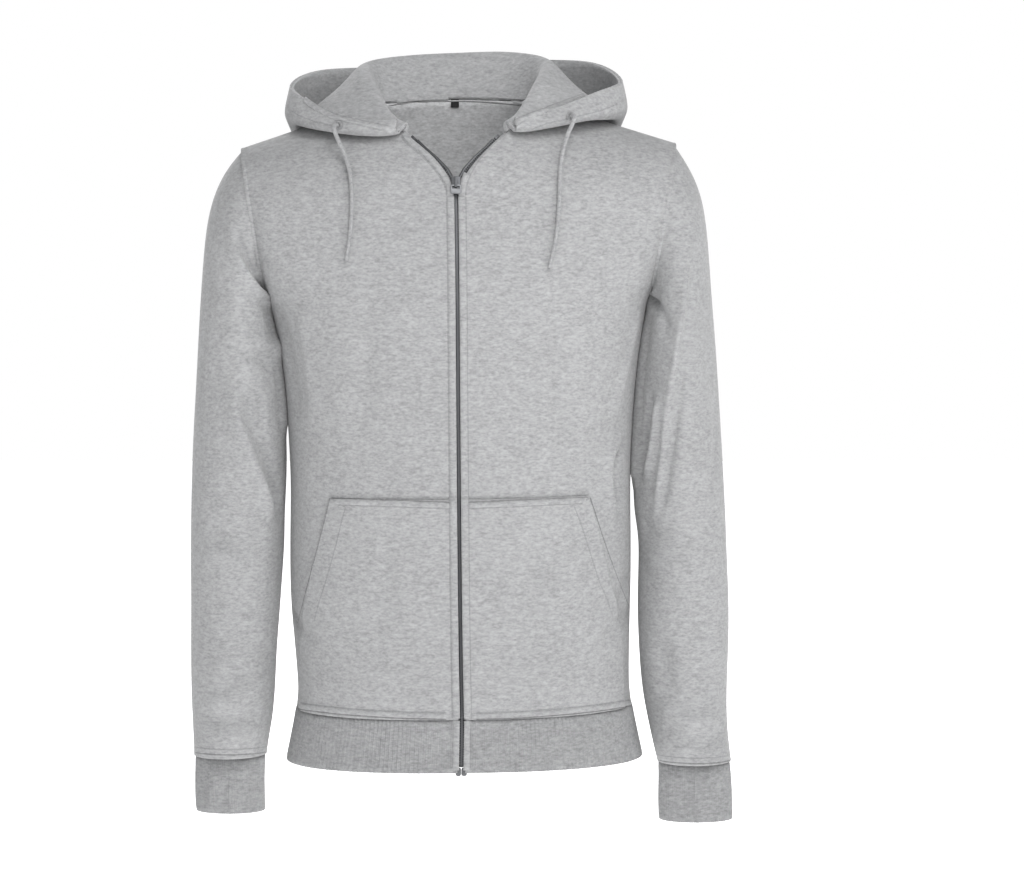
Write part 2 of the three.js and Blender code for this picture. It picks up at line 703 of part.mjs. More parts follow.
function pocketWall(side) {
  const place = (u, v) => {
    const row = mix(pocketRows[0], pocketRows.at(-1), v);
    const z = frontRows('edgeZ', row);
    const edge = frontRows('edgeHalf', row);
    const width = Math.abs(side * girth('half', z) + bodyMiddle('x', z) - zipLine('x', z)) - edge;
    const end = turnAt((pocketReach('reach', z) - edge) / width) * 2 / Math.PI;
    return { row, share: Math.min(u * POCKET_COLUMNS / FRONT_COLUMNS, end) };
  };
  const surface = (u, v) => {
    const at = place(u, v);
    return onFacets(side, at.share, at.row);
  };
  const seam = (u, v) => {
    const at = place(u, v);
    return facing(frontOf(side), at.share, at.row / FRONT_ROWS, { flip: side });
  };
  return wall(surface, steps(POCKET_COLUMNS), share(pocketRows), { lift: POCKET_GAP + CLOTH, seam });
}

// Hood

// Sections of the lying hood, from its front end at the zip to the middle of the back.
// r is the ridge where the cloth rolls over, v the valley at the bottom of the roll and
// e the edge of the face opening. x counts from the neck's middle.
const hoodColumns = ['at', 'rx', 'ry', 'rz', 'vx', 'vy', 'vz', 'ex', 'ey', 'ez', 'ridge', 'valley', 'rise'];
const hoodRows = table(hoodColumns, [
  [0, 51, -75, -24, 59.5, -82.5, -34, 59.5, -82, -20, 2.5, 3, 1],
  [1, 60.5, -67.5, -19, 76, -80, -36.5, 75.5, -78.5, -21.5, 3.5, 4, 4],
  [2, 70, -53, -9, 103, -71, -35.5, 104, -67, -17.5, 7, 6, 8],
  [3, 80.5, -34, 7, 133, -52, -30.5, 140, -46, -4, 9, 7, 10],
  [4, 89, -8, 26, 157, -28, -25, 165, -20, 11, 10, 8, 5],
  [5, 96, 22, 40, 169.5, 6, -20, 173, 8, 20, 11, 9, 1],
  [6, 98, 48, 47, 166, 48, -32, 167, 42, 31, 12, 10, 2],
  [7, 89, 75, 54, 149, 92, -78, 145, 84, 42, 12, 11, 5],
  [8, 52, 97, 60, 98, 130, -148, 103, 124, 47, 12, 12, 6],
  [BACK_STATION, 0, 105, 62.5, 0, 149, -184, 0, 153, 37, 12, 13, 0],
]);

const HOOD_SPANS = 2 * BACK_STATION;
const HOOD_STAND = 1.1;       // the hood's base stands just above the faceted neckline

// The whole loop, left end to right end. Only the right side takes the `rise`.
const hoodLoop = (() => {
  const mirror = (row, side) => ({
    ...row, rx: side * row.rx, vx: side * row.vx, ex: side * row.ex, rise: side > 0 ? row.rise : 0,
    at: side > 0 ? HOOD_SPANS - row.at : row.at,
  });
  const left = hoodRows.map((row) => mirror(row, -1));
  const right = hoodRows.slice(0, -1).reverse().map((row) => mirror(row, 1));
  return [...left, ...right];
})();
const readHood = reader(hoodLoop, 'at');

// How one section is shared out: spans of the curve between its eight guide points.
const HOOD_SPLIT = [1, 1, 1, 3, 1, 1, 3];
const HOOD_STEPS = HOOD_SPLIT.reduce((sum, n) => sum + n, 0);

function hoodSection(at) {
  const h = Object.fromEntries(hoodColumns.map((column) => [column, readHood(column, at)]));
  const x = (value) => value + NECK_MID_X;
  const station = Math.min(at, HOOD_SPANS - at);
  const neck = neckSeam(station).add(vec(0, 0, HOOD_STAND));
  neck.x = x(Math.sign(at - BACK_STATION) * neck.x);
  const ridge = vec(x(h.rx), h.ry, h.rz + h.rise * 0.5);
  const valley = vec(x(h.vx), h.vy, h.vz + h.rise * 0.8);
  const edge = vec(x(h.ex), h.ey, h.ez + h.rise);
  const out = valley.clone().sub(ridge).setZ(0).normalize();
  const beside = (point, way, radius) =>
    point.clone().addScaledVector(out, way * radius);
  const drop = vec(0, 0, h.ridge);
  const lift = vec(0, 0, h.valley);
  return new THREE.CatmullRomCurve3([
    neck,
    beside(ridge, -1, h.ridge).sub(drop),
    ridge,
    beside(ridge, 1, h.ridge).sub(drop),
    beside(valley, -1, h.valley).add(lift),
    valley,
    beside(valley, 1, h.valley).add(lift),
    edge,
  ].map(level), false, 'centripetal');
}

const sectionCache = new Map();
function hoodPoint(at, share) {
  if (!sectionCache.has(at)) sectionCache.set(at, hoodSection(at));
  return sectionCache.get(at).getPoint(clamp(share, 0, 1));
}

// Places along a section where the grid has a point.
const hoodShares = HOOD_SPLIT.flatMap((count, part) =>
  steps(count).slice(0, -1).map((t) => (part + t) / HOOD_SPLIT.length)).concat(1);

// The way the outside of the hood faces, worked out on the whole loop.
function hoodFacing(at, share) {
  const d = 2e-3;
  const along = hoodPoint(Math.min(at + d, HOOD_SPANS), share).clone()
    .sub(hoodPoint(Math.max(at - d, 0), share));
  const across = hoodPoint(at, Math.min(share + d, 1)).clone().sub(hoodPoint(at, Math.max(share - d, 0)));
  return across.cross(along).normalize();
}

// One hood piece through a list of stations, as a wall on the common surface.
function hoodWall(stations, shares, layer) {
  const [from, to] = [stations[0], stations.at(-1)];
  const at = (u) => mix(from, to, u);
  // Two panels turn alike where they are sewn together.
  const sewn = (place) => [CENTRE_FROM, CENTRE_TO].find((seam) => Math.abs(seam - place) < 0.01) ?? place;
  return wall((u, v) => hoodPoint(at(u), v), share(stations), shares,
    { ...layer, seam: (u, v) => hoodFacing(sewn(at(u)), v) });
}

const CENTRE_FROM = 8.05;     // stations where the centre panel is sewn in
const CENTRE_TO = HOOD_SPANS - CENTRE_FROM;
const STATION_GAP = 0.02;     // a seam's gap, as a share of a station's length
const sideStations = [0, 0.5, 1, 1.5, 2, 2.6, 3.2, 3.8, 4.4, 5, 5.6, 6.2, 6.8, 7.4, CENTRE_FROM];
const hoodStations = {
  left: [...sideStations.slice(0, -1), CENTRE_FROM - STATION_GAP],
  centre: steps(4, CENTRE_FROM, CENTRE_TO),
  right: [CENTRE_TO + STATION_GAP, ...sideStations.slice(0, -1).reverse().map((at) => HOOD_SPANS - at)],
};
const liningStations = [...sideStations, ...hoodStations.centre.slice(1, -1),
  ...[...sideStations].reverse().map((at) => HOOD_SPANS - at)];

// Zip

const HEM_HALF_GAP = 3.9;     // from the zip line to the hem band's ends
const edgeHalf = (row) => (row < 0 ? HEM_HALF_GAP : frontRows('edgeHalf', row));

// A frame on a front's inner edge. Rows below 0 go on down the hem band.
// across points away from the zip line along the cloth,
// and out is the way the cloth faces.
function edgeFrame(side, row) {
  if (row < 0) {
    const z = mix(HEM_SEAM_Z, HEM_END_Z, -row);
    const near = level(vec(zipLine('x', z) + side * HEM_HALF_GAP, -girth('front', z), z));
    return { near, across: vec(side, 0, 0), out: vec(0, -1, 0) };
  }
  const near = frontPoint(side, 0, row);
  const up = frontPoint(side, 0, Math.min(row + 0.02, FRONT_ROWS))
    .sub(frontPoint(side, 0, Math.max(row - 0.02, 0))).normalize();
  const across = frontPoint(side, 0.06, row).sub(near).normalize();
  across.lerp(vec(side, 0, 0), clamp(V_START_ROW + 1 - row, 0, 1));
  across.addScaledVector(up, -across.dot(up)).normalize();
  const out = across.clone().cross(up).normalize();
  if (out.y > 0) out.negate();
  return { near, across, out };
}

// A strip that runs up the zip behind the cloth's edge, between two distances from it.
function zipStrip(side, rows, inner, outer, back, thick) {
  const surface = (u, v) => {
    const row = mix(rows[0], rows.at(-1), v);
    const { near, across, out } = edgeFrame(side, row);
    return near.addScaledVector(across, mix(inner(row), outer(row), u)).addScaledVector(out, -back);
  };
  const share = (row) => (row - rows[0]) / (rows.at(-1) - rows[0]);
  const seam = (u, v) => edgeFrame(side, mix(rows[0], rows.at(-1), v)).out;
  return wall(surface, [0, 1], rows.map(share), { thick, seam });
}

const TEETH_WIDTH = 2.6;
const TEETH_DEPTH = 2.2;
const TAPE_WIDTH = 11;
const TAPE_THICK = 0.8;
const ZIP_BACK = RIB_CLOTH + LAYER_GAP;
const TEETH_REACH = 3.9;      // how far the teeth stand out from the V's edges
// The teeth reach the zip line, and up the V they keep their reach.
const teethEdge = (row) => -Math.min(edgeHalf(row) - SEAM_GAP / 2, TEETH_REACH);
const closedRows = [-0.9, -0.4, 0, 1, 3, 5, 7, 9, 10, 11, 11.6, 12, 12.4, 12.8, 13.4, 14, 14.6, 15.3];

// Slider and pull tab

const SLIDER = { width: 9.4, height: 13, plate: 1.6, neck: 1.5, top: -79.5 };
const PULL = { width: 11.6, length: 9.6, thick: 1.4, slotWidth: 7.4, slotTop: 0.8, slotEnd: 3.5 };
const PIN_DROP = 9.9;         // from the slider's top to the pull's axis
const PIN_STAND = 1.25;       // from the slider's face to the pull's axis
const SLIDER_FACE = -0.35;    // the slider's front plate starts just in front of the cloth

function box(width, depth, height, x, y, z) {
  const geometry = new THREE.BoxGeometry(width, depth, height);
  geometry.translate(x, y, z);
  return geometry;
}

function rounded(width, height, depth, corner) {
  const [w, h] = [width / 2, height / 2];
  const shape = new THREE.Shape();
  shape.moveTo(-w + corner, -h);
  shape.lineTo(w - corner, -h);
  shape.absarc(w - corner, -h + corner, corner, -Math.PI / 2, 0);
  shape.absarc(w - corner, h - corner, corner, 0, Math.PI / 2);
  shape.absarc(-w + corner, h - corner, corner, Math.PI / 2, Math.PI);
  shape.absarc(-w + corner, -h + corner, corner, Math.PI, 1.5 * Math.PI);
  const geometry = new THREE.ExtrudeGeometry(shape, { depth, bevelEnabled: false, curveSegments: 5 });
  geometry.translate(0, 0, -depth / 2);
  geometry.rotateX(Math.PI / 2);
  return geometry;
}

function solid(geometry) {
  const plain = geometry.clone();
  plain.deleteAttribute('normal');
  plain.deleteAttribute('uv');
  const merged = mergeVertices(plain, 1e-5);
  return new wasm.Manifold(new wasm.Mesh({
    numProp: 3,
    vertProperties: new Float32Array(merged.attributes.position.array),
    triVerts: new Uint32Array(merged.index.array),
  }));
}

function meshOf(manifold) {
  const { vertProperties, triVerts } = manifold.getMesh();
  const geometry = new THREE.BufferGeometry();
  geometry.setAttribute('position', new THREE.BufferAttribute(vertProperties, 3));
  geometry.setIndex(new THREE.BufferAttribute(triVerts, 1));
  return geometry;
}

// Built with its front face along -Y and the zip line at x 0; z counts from its top.
// A neck between the two rows of teeth joins the front and back plates, and a low bridge
// stands on the front plate for the pull tab.
function sliderSolid() {
  const { width, height, plate, neck } = SLIDER;
  const back = ZIP_BACK + TEETH_DEPTH + 0.4;
  const face = SLIDER_FACE - plate;
  const front = rounded(width, height, plate, 2.2).translate(0, SLIDER_FACE - plate / 2, -height / 2);
  const rear = rounded(width, height, plate, 2.2).translate(0, back + plate / 2, -height / 2);
  const post = box(neck, back - SLIDER_FACE + 0.4, 3, 0, (back + SLIDER_FACE) / 2, -2.2);
  const bridge = { width: 2.4, bar: 1, clear: PIN_STAND + PULL.slotTop + 0.3 };
  const barBase = face - bridge.clear;
  const legs = [-1.8, -PIN_DROP - 1.7].map((z) =>
    box(bridge.width, bridge.clear + 0.4, 1.2, 0, face - bridge.clear / 2, z));
  const bar = box(bridge.width, bridge.bar, 11, 0, barBase - bridge.bar / 2 + 0.1, -6.7);
  return [rear, post, bar, ...legs].reduce((sum, piece) => sum.add(solid(piece)), solid(front));
}

// The tab's top rail is a round pin, the joint's axis, and its slot lets the bridge through.
function pullSolid() {
  const { width, length, thick, slotWidth, slotTop, slotEnd } = PULL;
  const plate = rounded(width, length, thick, 2.4).translate(0, 0, slotTop - length / 2);
  const slot = box(slotWidth, thick * 3, slotEnd - slotTop, 0, 0, -(slotEnd + slotTop) / 2);
  return solid(plate).subtract(solid(slot));
}

// The pin and box at the zip's foot, which end a little below the hem.
const ZIP_END = { width: 5.6, depth: 3.2, height: 8.5, below: 3.5 };
function zipEnd(side) {
  const z = HEM_END_Z - ZIP_END.below + ZIP_END.height / 2;
  const x = zipLine('x', HEM_END_Z) + side * (ZIP_END.width / 2 + SEAM_GAP / 2);
  const y = -girth('front', HEM_END_Z) + ZIP_BACK + ZIP_END.depth / 2 + 0.1;
  return rounded(ZIP_END.width, ZIP_END.height, ZIP_END.depth, 2.2).translate(x, y, z + LEVEL * x);
}
const STOP_ROWS = [15.36, 15.8];

// Cords and eyelets

const CORD = { across: 4.5, sides: 8 };
const cordRoutes = {
  left: [[-124.4, -69.8, -26.4], [-125.9, -72.9, -25.4], [-127.2, -76.4, -26], [-127.3, -79.6, -29.6],
    [-125.8, -81.3, -35], [-122, -82, -43.5], [-116.6, -84.6, -56], [-112.2, -89.8, -69],
    [-109.8, -95.6, -82], [-108.5, -103, -105], [-110, -108.9, -135], [-114, -112.2, -164.6]],
  right: [[115, -71.8, -17.1], [116.3, -74.8, -16.1], [117.2, -78.2, -16.8], [117, -81.4, -20.4],
    [115, -83.2, -26.2], [110.8, -84, -35.5], [106.6, -86.8, -49], [103.9, -91.6, -63],
    [102.4, -98.2, -81], [101.4, -104.4, -105], [98.3, -111.8, -138], [91, -118.4, -171.7]],
};

function cordTube(route) {
  const curve = new THREE.CatmullRomCurve3(route.map((p) => vec(...p)), false, 'centripetal');
  const section = new THREE.Shape();
  for (let i = 0; i < CORD.sides; i += 1) {
    const turn = (i / CORD.sides) * Math.PI * 2;
    const point = [Math.cos(turn) * CORD.across / 2, Math.sin(turn) * CORD.across / 2];
    if (i === 0) section.moveTo(...point);
    else section.lineTo(...point);
  }
  section.closePath();
  const count = Math.round(curve.getLength() / (CORD.across * 2.5));
  return new THREE.ExtrudeGeometry(section, { steps: count, extrudePath: curve, bevelEnabled: false });
}

// An embroidered eyelet: a low ring on the hood's outside, at a station and share of it.
// Its stand is its height over the curved cloth, which the flat facets cut below.
const eyeletPlaces = {
  left: { at: 2.37, share: 0.88, stand: 0.5 },
  right: { at: 15.73, share: 0.88, stand: -0.15 },
};
const EYELET = { inner: 3, outer: 5.2, thick: 0.9 };

function eyelet({ at, share: place, stand }) {
  const { inner, outer, thick } = EYELET;
  const profile = [[inner, 0], [outer, 0], [outer - 0.4, thick], [inner + 0.4, thick], [inner, 0]];
  const geometry = new THREE.LatheGeometry(profile.map((p) => new THREE.Vector2(...p)), 16);
  const out = hoodFacing(at, place);
  const turn = new THREE.Quaternion().setFromUnitVectors(vec(0, 1, 0), out);
  const centre = hoodPoint(at, place).clone().addScaledVector(out, CLOTH + stand);
  return geometry.applyQuaternion(turn).translate(...centre.toArray());
}

// Neck tape and tag

// The tape covers the back neck seam from shoulder to shoulder. It lies on the lowest
// facet of the hood's lining.
const TAPE_HEIGHT_SHARE = 0.2;
function neckTape() {
  const stations = liningStations.filter((at) => at > SHOULDER_STATION - 0.1
    && at < HOOD_SPANS - SHOULDER_STATION + 0.1);
  const at = (u) => mix(stations[0], stations.at(-1), u);
  const facet = hoodShares[1];
  const surface = (u, v) => hoodPoint(at(u), 0).lerp(hoodPoint(at(u), facet), v * TAPE_HEIGHT_SHARE);
  const seam = (u, v) =>
    hoodFacing(at(u), 0).lerp(hoodFacing(at(u), facet), v * TAPE_HEIGHT_SHARE).normalize();
  return wall(surface, share(stations), [0.02, 1], { lift: -CLOTH - 2.5 * LAYER_GAP, thick: 0.8, seam });
}

const TAG = { width: 8.6, height: 8.6, thick: 0.7 };
function neckTag() {
  const seam = neckSeam(BACK_STATION);
  const y = seam.y - CLOTH - 2 * LAYER_GAP - TAG.thick;
  const z = seam.z - TAG.height / 2 - 0.4;
  return rounded(TAG.width, TAG.height, TAG.thick, 0.6).translate(NECK_MID_X - 1.3, y, z);
}

// Assembly

const MATERIALS = {
  fleece: { color: 0xb4b5b6, roughness: 0.95, metalness: 0 },
  lining: { color: 0xaeafb0, roughness: 0.95, metalness: 0 },
  rib: { color: 0xa3a4a5, roughness: 0.95, metalness: 0 },
  tape: { color: 0x55575a, roughness: 0.8, metalness: 0 },
  metal: { color: 0x8d8f92, roughness: 0.35, metalness: 1 },
  label: { color: 0x1b1b1d, roughness: 0.8, metalness: 0 },
  thread: { color: 0x9a9b9c, roughness: 0.85, metalness: 0 },
};

const group = new THREE.Group();

function place(name, geometry, material, parent = group) {
  const mesh = new THREE.Mesh(geometry, new THREE.MeshStandardMaterial(MATERIALS[material]));
  mesh.name = name;
  parent.add(mesh);
  return mesh;
}

const frontLevels = [0, 0.6, 1, 2, 2.5, 3, 4, 5, 6, 7, 8, 9, 10, 11, 12, 13, 14, 15, 16,
  16.4, 16.8, 17.2, 17.6, 18];
const backLevels = [0, 0.6, 1, 2, 3, 4, 5, 6, 7, 8, 9, 10, 11, 12, 13, 14, 15];

for (const [name, side] of [['left', -1], ['right', 1]]) {
  place(`front_${name}`, wall(frontOf(side), steps(FRONT_COLUMNS), share(frontLevels),
    { flip: side, seam: frontSeam(side) }), 'fleece');
  place(`sleeve_${name}`, sleeveWall(name), 'fleece');
  place(`cuff_${name}`, cuffBand(name), 'rib');
  place(`pocket_${name}`, pocketWall(side), 'fleece');
  place(`zip_teeth_${name}`, zipStrip(side, closedRows, teethEdge,
    (row) => teethEdge(row) + TEETH_WIDTH, ZIP_BACK, TEETH_DEPTH), 'metal');
  const tapeEdge = (row) => teethEdge(row) + TEETH_WIDTH + SEAM_GAP;
  place(`zip_tape_${name}`, zipStrip(side, [...closedRows, 15.9], tapeEdge,
    (row) => tapeEdge(row) + TAPE_WIDTH, ZIP_BACK + 0.8, TAPE_THICK), 'tape');
  place(`zip_stop_${name}`, zipStrip(side, STOP_ROWS, (row) => teethEdge(row) - 0.2,
    (row) => teethEdge(row) + TEETH_WIDTH, ZIP_BACK - 0.2, TEETH_DEPTH + 0.4), 'metal');
  place(`zip_${name === 'left' ? 'pin' : 'box'}`, zipEnd(side), 'metal');
  place(`eyelet_${name}`, eyelet(eyeletPlaces[name]), 'thread');
  place(`drawcord_${name}`, cordTube(cordRoutes[name]), 'fleece');
}

place('back', wall(backOf, steps(BACK_COLUMNS), share(backLevels), { flip: -1, seam: backSeam }), 'fleece');
place('hem_rib', ribbedBand(hemPoint, Math.round(HEM_ROUND / RIB_PITCH), HEM_INSIDE_SPANS), 'rib');

const SHELL = { lift: CLOTH + LAYER_GAP / 2, thick: CLOTH };
const LINING = { lift: -LAYER_GAP / 2, thick: CLOTH };
for (const [name, piece] of [['left', 'side_left'], ['centre', 'centre'], ['right', 'side_right']]) {
  place(`hood_${piece}`, hoodWall(hoodStations[name], hoodShares, SHELL), 'fleece');
}
place('hood_lining', hoodWall(liningStations, hoodShares, LINING), 'lining');

place('neck_tape', neckTape(), 'fleece');
place('neck_tag', neckTag(), 'label');

// The slider leans with the cloth at the foot of the V, and carries the pull tab.
const slider = new THREE.Group();
const sliderLean = Math.atan2(frontRows('edgeY', 13) - frontRows('edgeY', 11),
  frontRows('edgeZ', 13) - frontRows('edgeZ', 11));
slider.position.set(zipLine('x', SLIDER.top), frontRows('edgeY', 13) - 0.2, SLIDER.top);
slider.rotation.x = -sliderLean;
place('zip_slider', meshOf(sliderSolid()), 'metal', slider);
const pull = place('zip_pull', meshOf(pullSolid()), 'metal', slider);
pull.position.set(0, SLIDER_FACE - SLIDER.plate - PIN_STAND, -PIN_DROP);
group.add(slider);

export default group;
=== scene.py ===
"""A grey heather zip up hoodie, filled out as worn with no wearer.

The cloth pieces are the frame's own walls, rounded and then creased along lines read off
the photograph. Sewing, zip teeth, ribs and cords are built over them. Everything is in
metres in the frame's axes, and a table's columns and rows are the photograph's.
"""
import math
import random

import bmesh
import bpy
import numpy as np
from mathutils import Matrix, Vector
from mathutils.bvhtree import BVHTree


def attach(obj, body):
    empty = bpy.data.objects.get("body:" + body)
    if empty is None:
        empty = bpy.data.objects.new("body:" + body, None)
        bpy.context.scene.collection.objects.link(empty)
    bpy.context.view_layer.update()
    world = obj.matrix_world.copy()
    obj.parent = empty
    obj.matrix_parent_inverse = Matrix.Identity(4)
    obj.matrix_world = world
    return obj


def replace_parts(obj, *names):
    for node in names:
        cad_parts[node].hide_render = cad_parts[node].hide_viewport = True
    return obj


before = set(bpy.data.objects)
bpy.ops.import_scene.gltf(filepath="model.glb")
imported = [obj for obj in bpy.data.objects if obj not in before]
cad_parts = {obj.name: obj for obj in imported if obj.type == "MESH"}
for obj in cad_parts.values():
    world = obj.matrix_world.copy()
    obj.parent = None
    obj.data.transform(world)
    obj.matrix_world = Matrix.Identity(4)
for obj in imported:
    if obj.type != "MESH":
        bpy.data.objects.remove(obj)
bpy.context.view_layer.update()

MM = 0.001
GARMENT = "garment"
PULL = "pull"

# Camera: the photograph's frame is 1024 x 871 pixels.
PHOTO_WIDTH = 1024
PHOTO_MIDDLE = Vector((512.0, 435.5))
ZERO_COLUMN = 459.0                   # the column that shows x = 0
PIXEL = 1.05 * MM                     # one pixel at the zip's depth
DISTANCE = 3.2
FOCAL_PIXELS = DISTANCE / PIXEL
ELEVATION = math.radians(3.0)
AIM = Vector((0, 0, -0.347))
SENSOR_MM = 36.0


def make_camera():
    data = bpy.data.cameras.new("camera")
    data.sensor_width = SENSOR_MM
    data.lens = FOCAL_PIXELS / PHOTO_WIDTH * SENSOR_MM
    data.shift_x = (PHOTO_MIDDLE.x - ZERO_COLUMN) / PHOTO_WIDTH
    data.clip_start = 0.1
    data.clip_end = 50
    camera = bpy.data.objects.new("camera", data)
    bpy.context.collection.objects.link(camera)
    back = Vector((0, -math.cos(ELEVATION), math.sin(ELEVATION)))
    camera.location = AIM + back * DISTANCE
    camera.rotation_euler = (-back).to_track_quat("-Z", "Y").to_euler()
    bpy.context.scene.camera = camera
    return camera, back


camera, toward_eye = make_camera()


def sight_line(column, row):
    """From the eye through a place of the photograph's frame."""
    right = Vector((1, 0, 0))
    up = toward_eye.cross(right).normalized()
    across = (column - ZERO_COLUMN) / FOCAL_PIXELS
    above = (PHOTO_MIDDLE.y - row) / FOCAL_PIXELS
    return camera.location.copy(), (-toward_eye + right * across + up * above).normalized()


# Materials

def new_material(name):
    """A material, its shader, a function that adds a node to it, and its links."""
    material = bpy.data.materials.new(name)
    material.use_nodes = True
    nodes = material.node_tree.nodes
    links = material.node_tree.links

    def add(kind, inputs=(), **settings):
        node = nodes.new(kind)
        for name, value in settings.items():
            setattr(node, name, value)
        for socket, value in dict(inputs).items():
            if isinstance(value, bpy.types.NodeSocket):
                links.new(value, node.inputs[socket])
            else:
                node.inputs[socket].default_value = value
        return node

    return material, nodes["Principled BSDF"], add, links


def plain_material(name, color, roughness, **sockets):
    material, shader, _, _ = new_material(name)
    shader.inputs["Base Color"].default_value = (*color, 1)
    shader.inputs["Roughness"].default_value = roughness
    for socket, value in sockets.items():
        shader.inputs[socket.replace("_", " ")].default_value = value
    return material


HEATHER_MIDDLE = 1.1                  # the noises' sum at an even mix of dark and light
HEATHER_HALF = 0.34                   # and how far from it the fibres are all one or the other


def heather(name, dark, light, knit=1.0, undulation=1.0, inside=1.0):
    """Mottled grey knit: dark and light fibres in short level streaks, with a soft nap.

    Faces that look forward are `inside` times as light, which is for the back panel: its
    loop side looks forward, and the lift there is partly that side's own lighter tone and
    partly painted light in the shaded inside of the back.
    """
    material, shader, add, links = new_material(name)
    place = add("ShaderNodeTexCoord").outputs["Object"]

    def noise(scale, detail, stretch=(1, 1, 1)):
        mapped = add("ShaderNodeMapping", {"Vector": place, "Scale": stretch}).outputs["Vector"]
        return add("ShaderNodeTexNoise", {"Vector": mapped, "Scale": scale, "Detail": detail,
                                          "Roughness": 0.6}).outputs["Fac"]

    def math_node(operation, first, second):
        return add("ShaderNodeMath", {0: first, 1: second}, operation=operation).outputs[0]

    fine = noise(250, 3, (1, 1, 2.0))
    coarse = noise(120, 2, (0.9, 0.9, 2.4))
    broad = noise(14, 2, (1, 1, 1.4))
    total = math_node("ADD", math_node("MULTIPLY", fine, 1.2),
                      math_node("MULTIPLY", coarse, 0.8))
    total = math_node("ADD", total, math_node("MULTIPLY", broad, 0.2))
    share = add("ShaderNodeMapRange", {"Value": total, "From Min": HEATHER_MIDDLE - HEATHER_HALF,
                                       "From Max": HEATHER_MIDDLE + HEATHER_HALF})
    tint = add("ShaderNodeMix", {"Factor": share.outputs["Result"], 6: (*dark, 1),
                                 7: (*light, 1)}, data_type="RGBA")
    facing = add("ShaderNodeTexCoord").outputs["Normal"]
    forward = add("ShaderNodeSeparateXYZ", {"Vector": facing}).outputs["Y"]
    # Painted light: faces that look forward are made lighter by `inside`, partly the loop side's
    # own tone.
    lift = add("ShaderNodeMapRange", {"Value": forward, "From Min": 0.1, "From Max": -0.1,
                                      "To Min": 1.0, "To Max": inside})
    color = add("ShaderNodeVectorMath", {0: tint.outputs[2], "Scale": lift.outputs["Result"]},
                operation="SCALE")
    links.new(color.outputs[0], shader.inputs["Base Color"])

    columns = add("ShaderNodeTexWave", {"Vector": place, "Scale": 360, "Distortion": 0.6,
                                        "Detail": 1}, bands_direction="X")
    courses = add("ShaderNodeTexWave", {"Vector": place, "Scale": 420, "Distortion": 0.6,
                                        "Detail": 1}, bands_direction="Z")
    stitch = math_node("MULTIPLY", columns.outputs["Fac"], courses.outputs["Fac"])
    relief = add("ShaderNodeBump", {"Height": stitch, "Strength": 0.25 * knit,
                                    "Distance": 0.25 * MM})
    nap = add("ShaderNodeBump", {"Height": fine, "Strength": 0.35, "Distance": 0.5 * MM,
                                 "Normal": relief.outputs["Normal"]})
    swell = add("ShaderNodeBump", {"Height": noise(26, 2), "Strength": 0.5 * undulation,
                                   "Distance": 5 * MM, "Normal": nap.outputs["Normal"]})
    links.new(swell.outputs["Normal"], shader.inputs["Normal"])
    shader.inputs["Roughness"].default_value = 0.95
    shader.inputs["Specular IOR Level"].default_value = 0.15
    shader.inputs["Sheen Weight"].default_value = 0.25
    shader.inputs["Sheen Roughness"].default_value = 0.6
    return material


def woven(name, color, scale=900):
    """A narrow woven tape: a fine twill in its bump and tint."""
    material, shader, add, links = new_material(name)
    place = add("ShaderNodeTexCoord").outputs["Object"]
    wave = add("ShaderNodeTexWave", {"Vector": place, "Scale": scale, "Distortion": 0.4},
               bands_direction="DIAGONAL")
    tint = add("ShaderNodeMix", {"Factor": wave.outputs["Fac"],
                                 6: (*[c * 0.75 for c in color], 1),
                                 7: (*[c * 1.2 for c in color], 1)}, data_type="RGBA")
    links.new(tint.outputs[2], shader.inputs["Base Color"])
    bump = add("ShaderNodeBump", {"Height": wave.outputs["Fac"], "Strength": 0.4,
                                  "Distance": 0.15 * MM})
    links.new(bump.outputs["Normal"], shader.inputs["Normal"])
    shader.inputs["Roughness"].default_value = 0.8
    return material


def worn_metal(name, color, roughness):
    """Dark zip metal whose gloss varies a little, as handled metal's does."""
    material, shader, add, links = new_material(name)
    place = add("ShaderNodeTexCoord").outputs["Object"]
    smudge = add("ShaderNodeTexNoise", {"Vector": place, "Scale": 380, "Detail": 3})
    rough = add("ShaderNodeMapRange", {"Value": smudge.outputs["Fac"],
                                       "To Min": roughness - 0.08,
                                       "To Max": roughness + 0.12})
    links.new(rough.outputs["Result"], shader.inputs["Roughness"])
    shader.inputs["Base Color"].default_value = (*color, 1)
    shader.inputs["Metallic"].default_value = 1
    return material


FLEECE_TONES = (0.252, 0.253, 0.256), (0.425, 0.427, 0.431)
fleece = heather("fleece", *FLEECE_TONES)
# The back's inside is lighter: partly its loop side's own tone, partly painted light in its
# shade.
back_fleece_loop_and_painted_light = heather("back_fleece_loop_and_painted_light", *FLEECE_TONES, inside=1.7)
# Two darker greys for ribbons of painted shade along seams, edges and crevices; the fainter one
# lies under stitching.
groove_shade_fleece = heather("groove_shade_fleece", (0.15, 0.151, 0.153), (0.27, 0.271, 0.274))
faint_groove_shade = heather("faint_groove_shade", (0.205, 0.206, 0.209), (0.345, 0.347, 0.351))
lining = heather("lining", (0.29, 0.292, 0.296), (0.48, 0.482, 0.486), undulation=0.6)
rib_knit = heather("rib", (0.205, 0.206, 0.209), (0.37, 0.372, 0.376), undulation=0.3)
cord_braid = heather("cord", (0.24, 0.242, 0.246), (0.40, 0.402, 0.406), knit=0, undulation=0)
tape_weave = woven("tape", (0.05, 0.051, 0.054))
label_weave = woven("label", (0.012, 0.012, 0.013), scale=1200)
zip_metal = worn_metal("metal", (0.17, 0.173, 0.18), 0.55)
